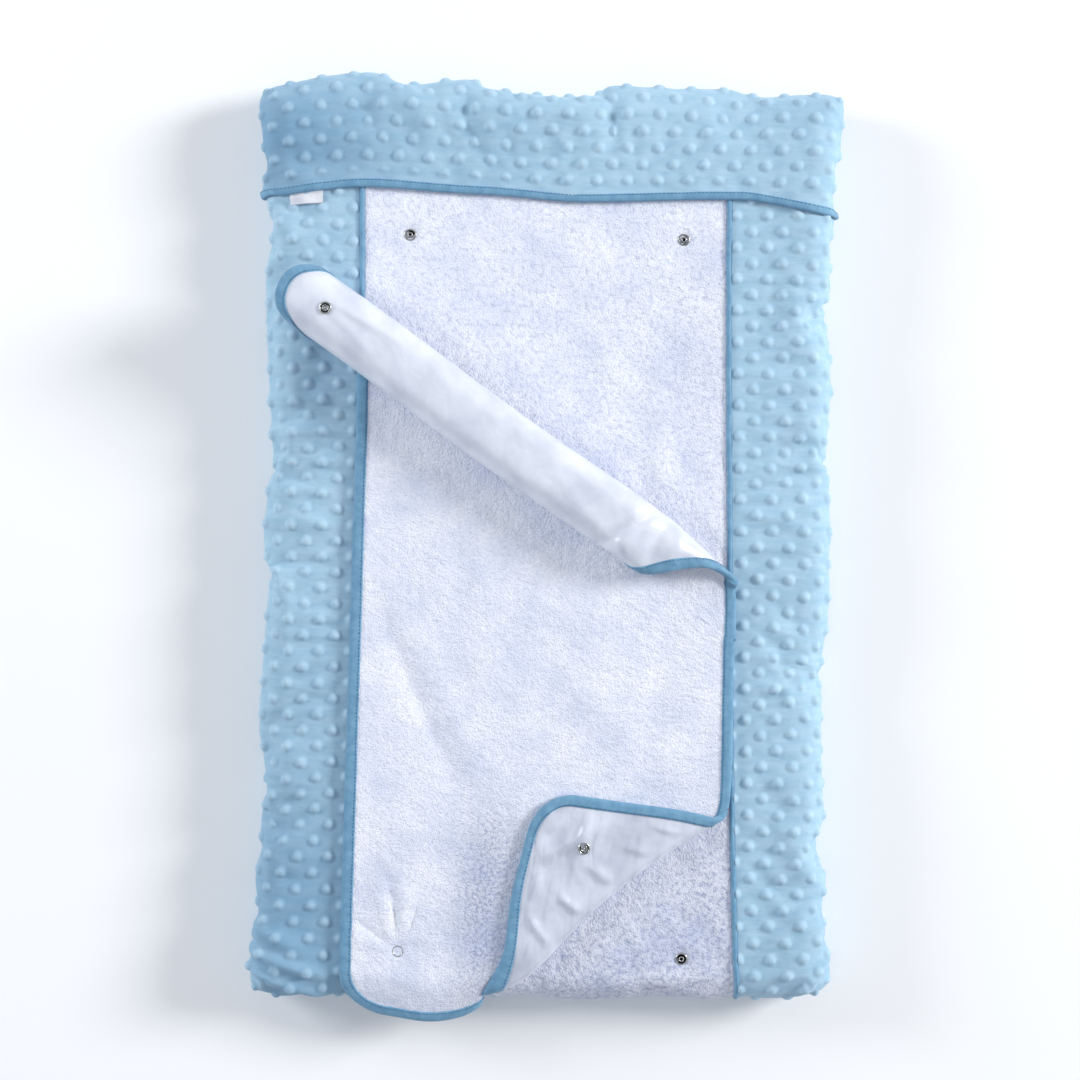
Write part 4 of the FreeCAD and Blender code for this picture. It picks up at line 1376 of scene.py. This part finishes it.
def build_pad():
    left, right = side_band("side_band_left_plush", -1), side_band("side_band_right_plush", 1)
    finish_piece(brush(left, LEFT_PAINTED_SHADE), "pad", ["side_band_left"])
    finish_piece(brush(right, RIGHT_PAINTED_SHADE), "pad", ["side_band_right"])
    finish_piece(brush(head_band(), HOOD_PAINTED_SHADE), "pad", ["head_band"])
    finish_piece(back_panel(), "pad", ["back_panel"])
    finish_piece(brush(centre_panel(), CENTRE_PAINTED_SHADE), "pad", ["centre_panel"])
    for end, side in (("left", -1), ("right", 1)):
        finish_piece(piping(f"piping_{end}_cord", side), "pad", [f"piping_{end}"])
    finish_piece(side_seam(), "pad")
    tape, thread = hood_binding()
    finish_piece(tape, "pad", ["head_band_binding"])
    finish_piece(thread, "pad")
    finish_piece(blank_tab(), "pad", ["blank_tab"])
    finish_piece(inner_layer("foam_block", 9.0, (1, -1), FOAM), "pad", ["foam_core"])
    for end, side in (("top", 1), ("bottom", -1)):
        film = inner_layer(f"casing_{end}_film", 6.0, (side,), CASING)
        finish_piece(film, "pad", [f"inner_casing_{end}"])


def build_pad_poppers():
    for end, (x, y) in stud_places().items():
        place = pad_point(np.array(x), np.array(y))
        for name, node, profile, sink in (
            (f"stud_{end}_nickel", f"pad_stud_{end}", STUD, 1.9),
            (f"prong_{end}_nickel", f"pad_prong_ring_{end}", PRONG_RING, 3.4),
        ):
            piece = turned_piece(name, profile, place - [0, 0, sink], (0, 0, 1))
            finish_piece(piece, "pad", [node])


def popper_on_sheet(end, u, v, bodies):
    """Socket and grip spring on the sheet's backing and prong ring on its towelling."""
    body, spring_body = bodies
    under, over = liner_at(u, v, np.array([0.0, SHEET_THICK]))
    way = unit(over - under)
    socket = turned_piece(f"socket_{end}_nickel", SOCKET, under + 0.1 * way, -way)
    finish_piece(socket, body, [f"liner_socket_{end}"])
    ring = turned_piece(f"ring_{end}_nickel", PRONG_RING, under + (SHEET_THICK - 1.1) * way, way)
    finish_piece(ring, body, [f"liner_prong_ring_{end}"])
    turn = np.linspace(0.25, 2 * math.pi - 0.25, 30)
    helper = unit(np.cross(way, [0.3, 1.0, 0.2]))
    other = np.cross(way, helper)
    circle = under - 0.9 * way + 2.7 * (np.cos(turn)[:, None] * helper + np.sin(turn)[:, None] * other)
    spring = tube(f"spring_{end}_wire", circle, 0.32, SPRING, sides=8, up=way)
    finish_piece(spring, spring_body, [f"liner_grip_spring_{end}"])


def roll_spot(node):
    """The place on the cut that comes nearest to a CAD popper of the roll."""
    target = node_centre(node)
    along, run = np.meshgrid(np.arange(-330, 60, 1.5), np.arange(60, 300, 1.5))
    u, v = roll_place(along, run)
    gap = np.linalg.norm(liner_surface(u, v) - target, axis=-1)
    best = np.unravel_index(np.argmin(gap), gap.shape)
    return float(u[best]), float(v[best])


FLAP_BLEND = "liner to corner_flap"
SHEETS = {
    "liner": ("liner", main_grid, 2.2),
    "corner": (FLAP_BLEND, corner_grid, 1.8),
    "roll": ("rolled_end", roll_grid, 2.4),
}


def build_liner():
    edges = outline_stretches()
    for name, (body, grid, spacing) in SHEETS.items():
        inside = grid(spacing, 4.0)
        towel = sheet_layer(f"{name}_towelling_cloth", inside, 1.0, SHEET_THICK, TOWEL, 0.3)
        brush(towel, LINER_PAINTED_SHADE if name == "liner" else ())
        finish_piece(towel, body, [f"{name}_towelling"])
        coarse = grid(spacing if name != "liner" else 4.0, 3.0)
        film = FILM_SMOOTH if name == "roll" else FILM_PAINTED_SHADE
        backing = sheet_layer(f"{name}_backing_film", coarse, 0.0, BACKING_THICK, film, flip=True)
        finish_piece(backing, body, [f"{name}_backing"])
        tape, seams = bound_edge(f"{name}_binding_tape", edges[name])
        finish_piece(tape, body, [f"{name}_binding"])
        finish_piece(stitches(f"{name}_stitches", seams), body)
    studs = stud_places()
    popper_on_sheet("foot_left", *studs["foot_left"], ("liner", "popper"))
    popper_on_sheet("foot_right", *studs["foot_right"], ("corner_flap", "corner_flap"))
    for end in ("head_left", "head_right"):
        popper_on_sheet(end, *roll_spot(f"liner_socket_{end}"), ("rolled_end", "rolled_end"))


def build_stage():
    """A wide pale floor that curves up into a pale backdrop all round."""
    flat, rise, sides = 7500.0, 2500.0, 96
    turns = np.radians(np.linspace(0, 60, 9))
    profile = [(1.0, 0.0)] + [(flat + rise * math.sin(t), rise - rise * math.cos(t)) for t in turns]
    points, faces = lathe(profile, sides)
    make_mesh("floor", points, faces + [list(range(sides))], PAPER)


def area_light(name, place, size, power, tint):
    """A round soft light that faces the pad."""
    data = bpy.data.lights.new(name, "AREA")
    data.shape = "DISK"
    data.size = size
    data.energy = power
    data.color = tint
    lamp = bpy.data.objects.new(name, data)
    bpy.context.scene.collection.objects.link(lamp)
    lamp.location = place
    way = Vector((0, 0, 0.03)) - Vector(place)
    lamp.rotation_euler = way.to_track_quat("-Z", "Y").to_euler()


def build_lights():
    area_light("key", (5.2, 1.6, 2.5), 1.8, 330, (1.0, 0.99, 0.97))
    area_light("fill", (-0.4, -0.6, 3.4), 2.4, 8, (0.96, 0.98, 1.0))
    area_light("rim", (-3.4, 1.4, 1.5), 1.4, 75, (0.95, 0.98, 1.0))
    world = bpy.data.worlds.new("soft_room")
    world.use_nodes = True
    background = world.node_tree.nodes["Background"].inputs
    background["Color"].default_value = (0.86, 0.91, 1.0, 1)
    background["Strength"].default_value = 0.5
    bpy.context.scene.world = world
    bpy.context.scene.view_settings.view_transform = "Standard"
    bpy.context.scene.view_settings.look = "None"


def build_camera():
    """Straight down over the pad's middle, turned very slightly."""
    data = bpy.data.cameras.new("camera")
    camera = bpy.data.objects.new("camera", data)
    bpy.context.scene.collection.objects.link(camera)
    height = 2150.0
    view_width = 939.6
    data.sensor_width = 36.0
    data.lens = 36.0 * (height - TOP) / view_width
    camera.location = (-5.3 * MM, 3.4 * MM, height * MM)
    camera.rotation_euler = (0, 0, math.radians(0.83))
    bpy.context.scene.camera = camera


build_stage()
build_lights()
build_camera()
build_pad()
build_pad_poppers()
build_liner()
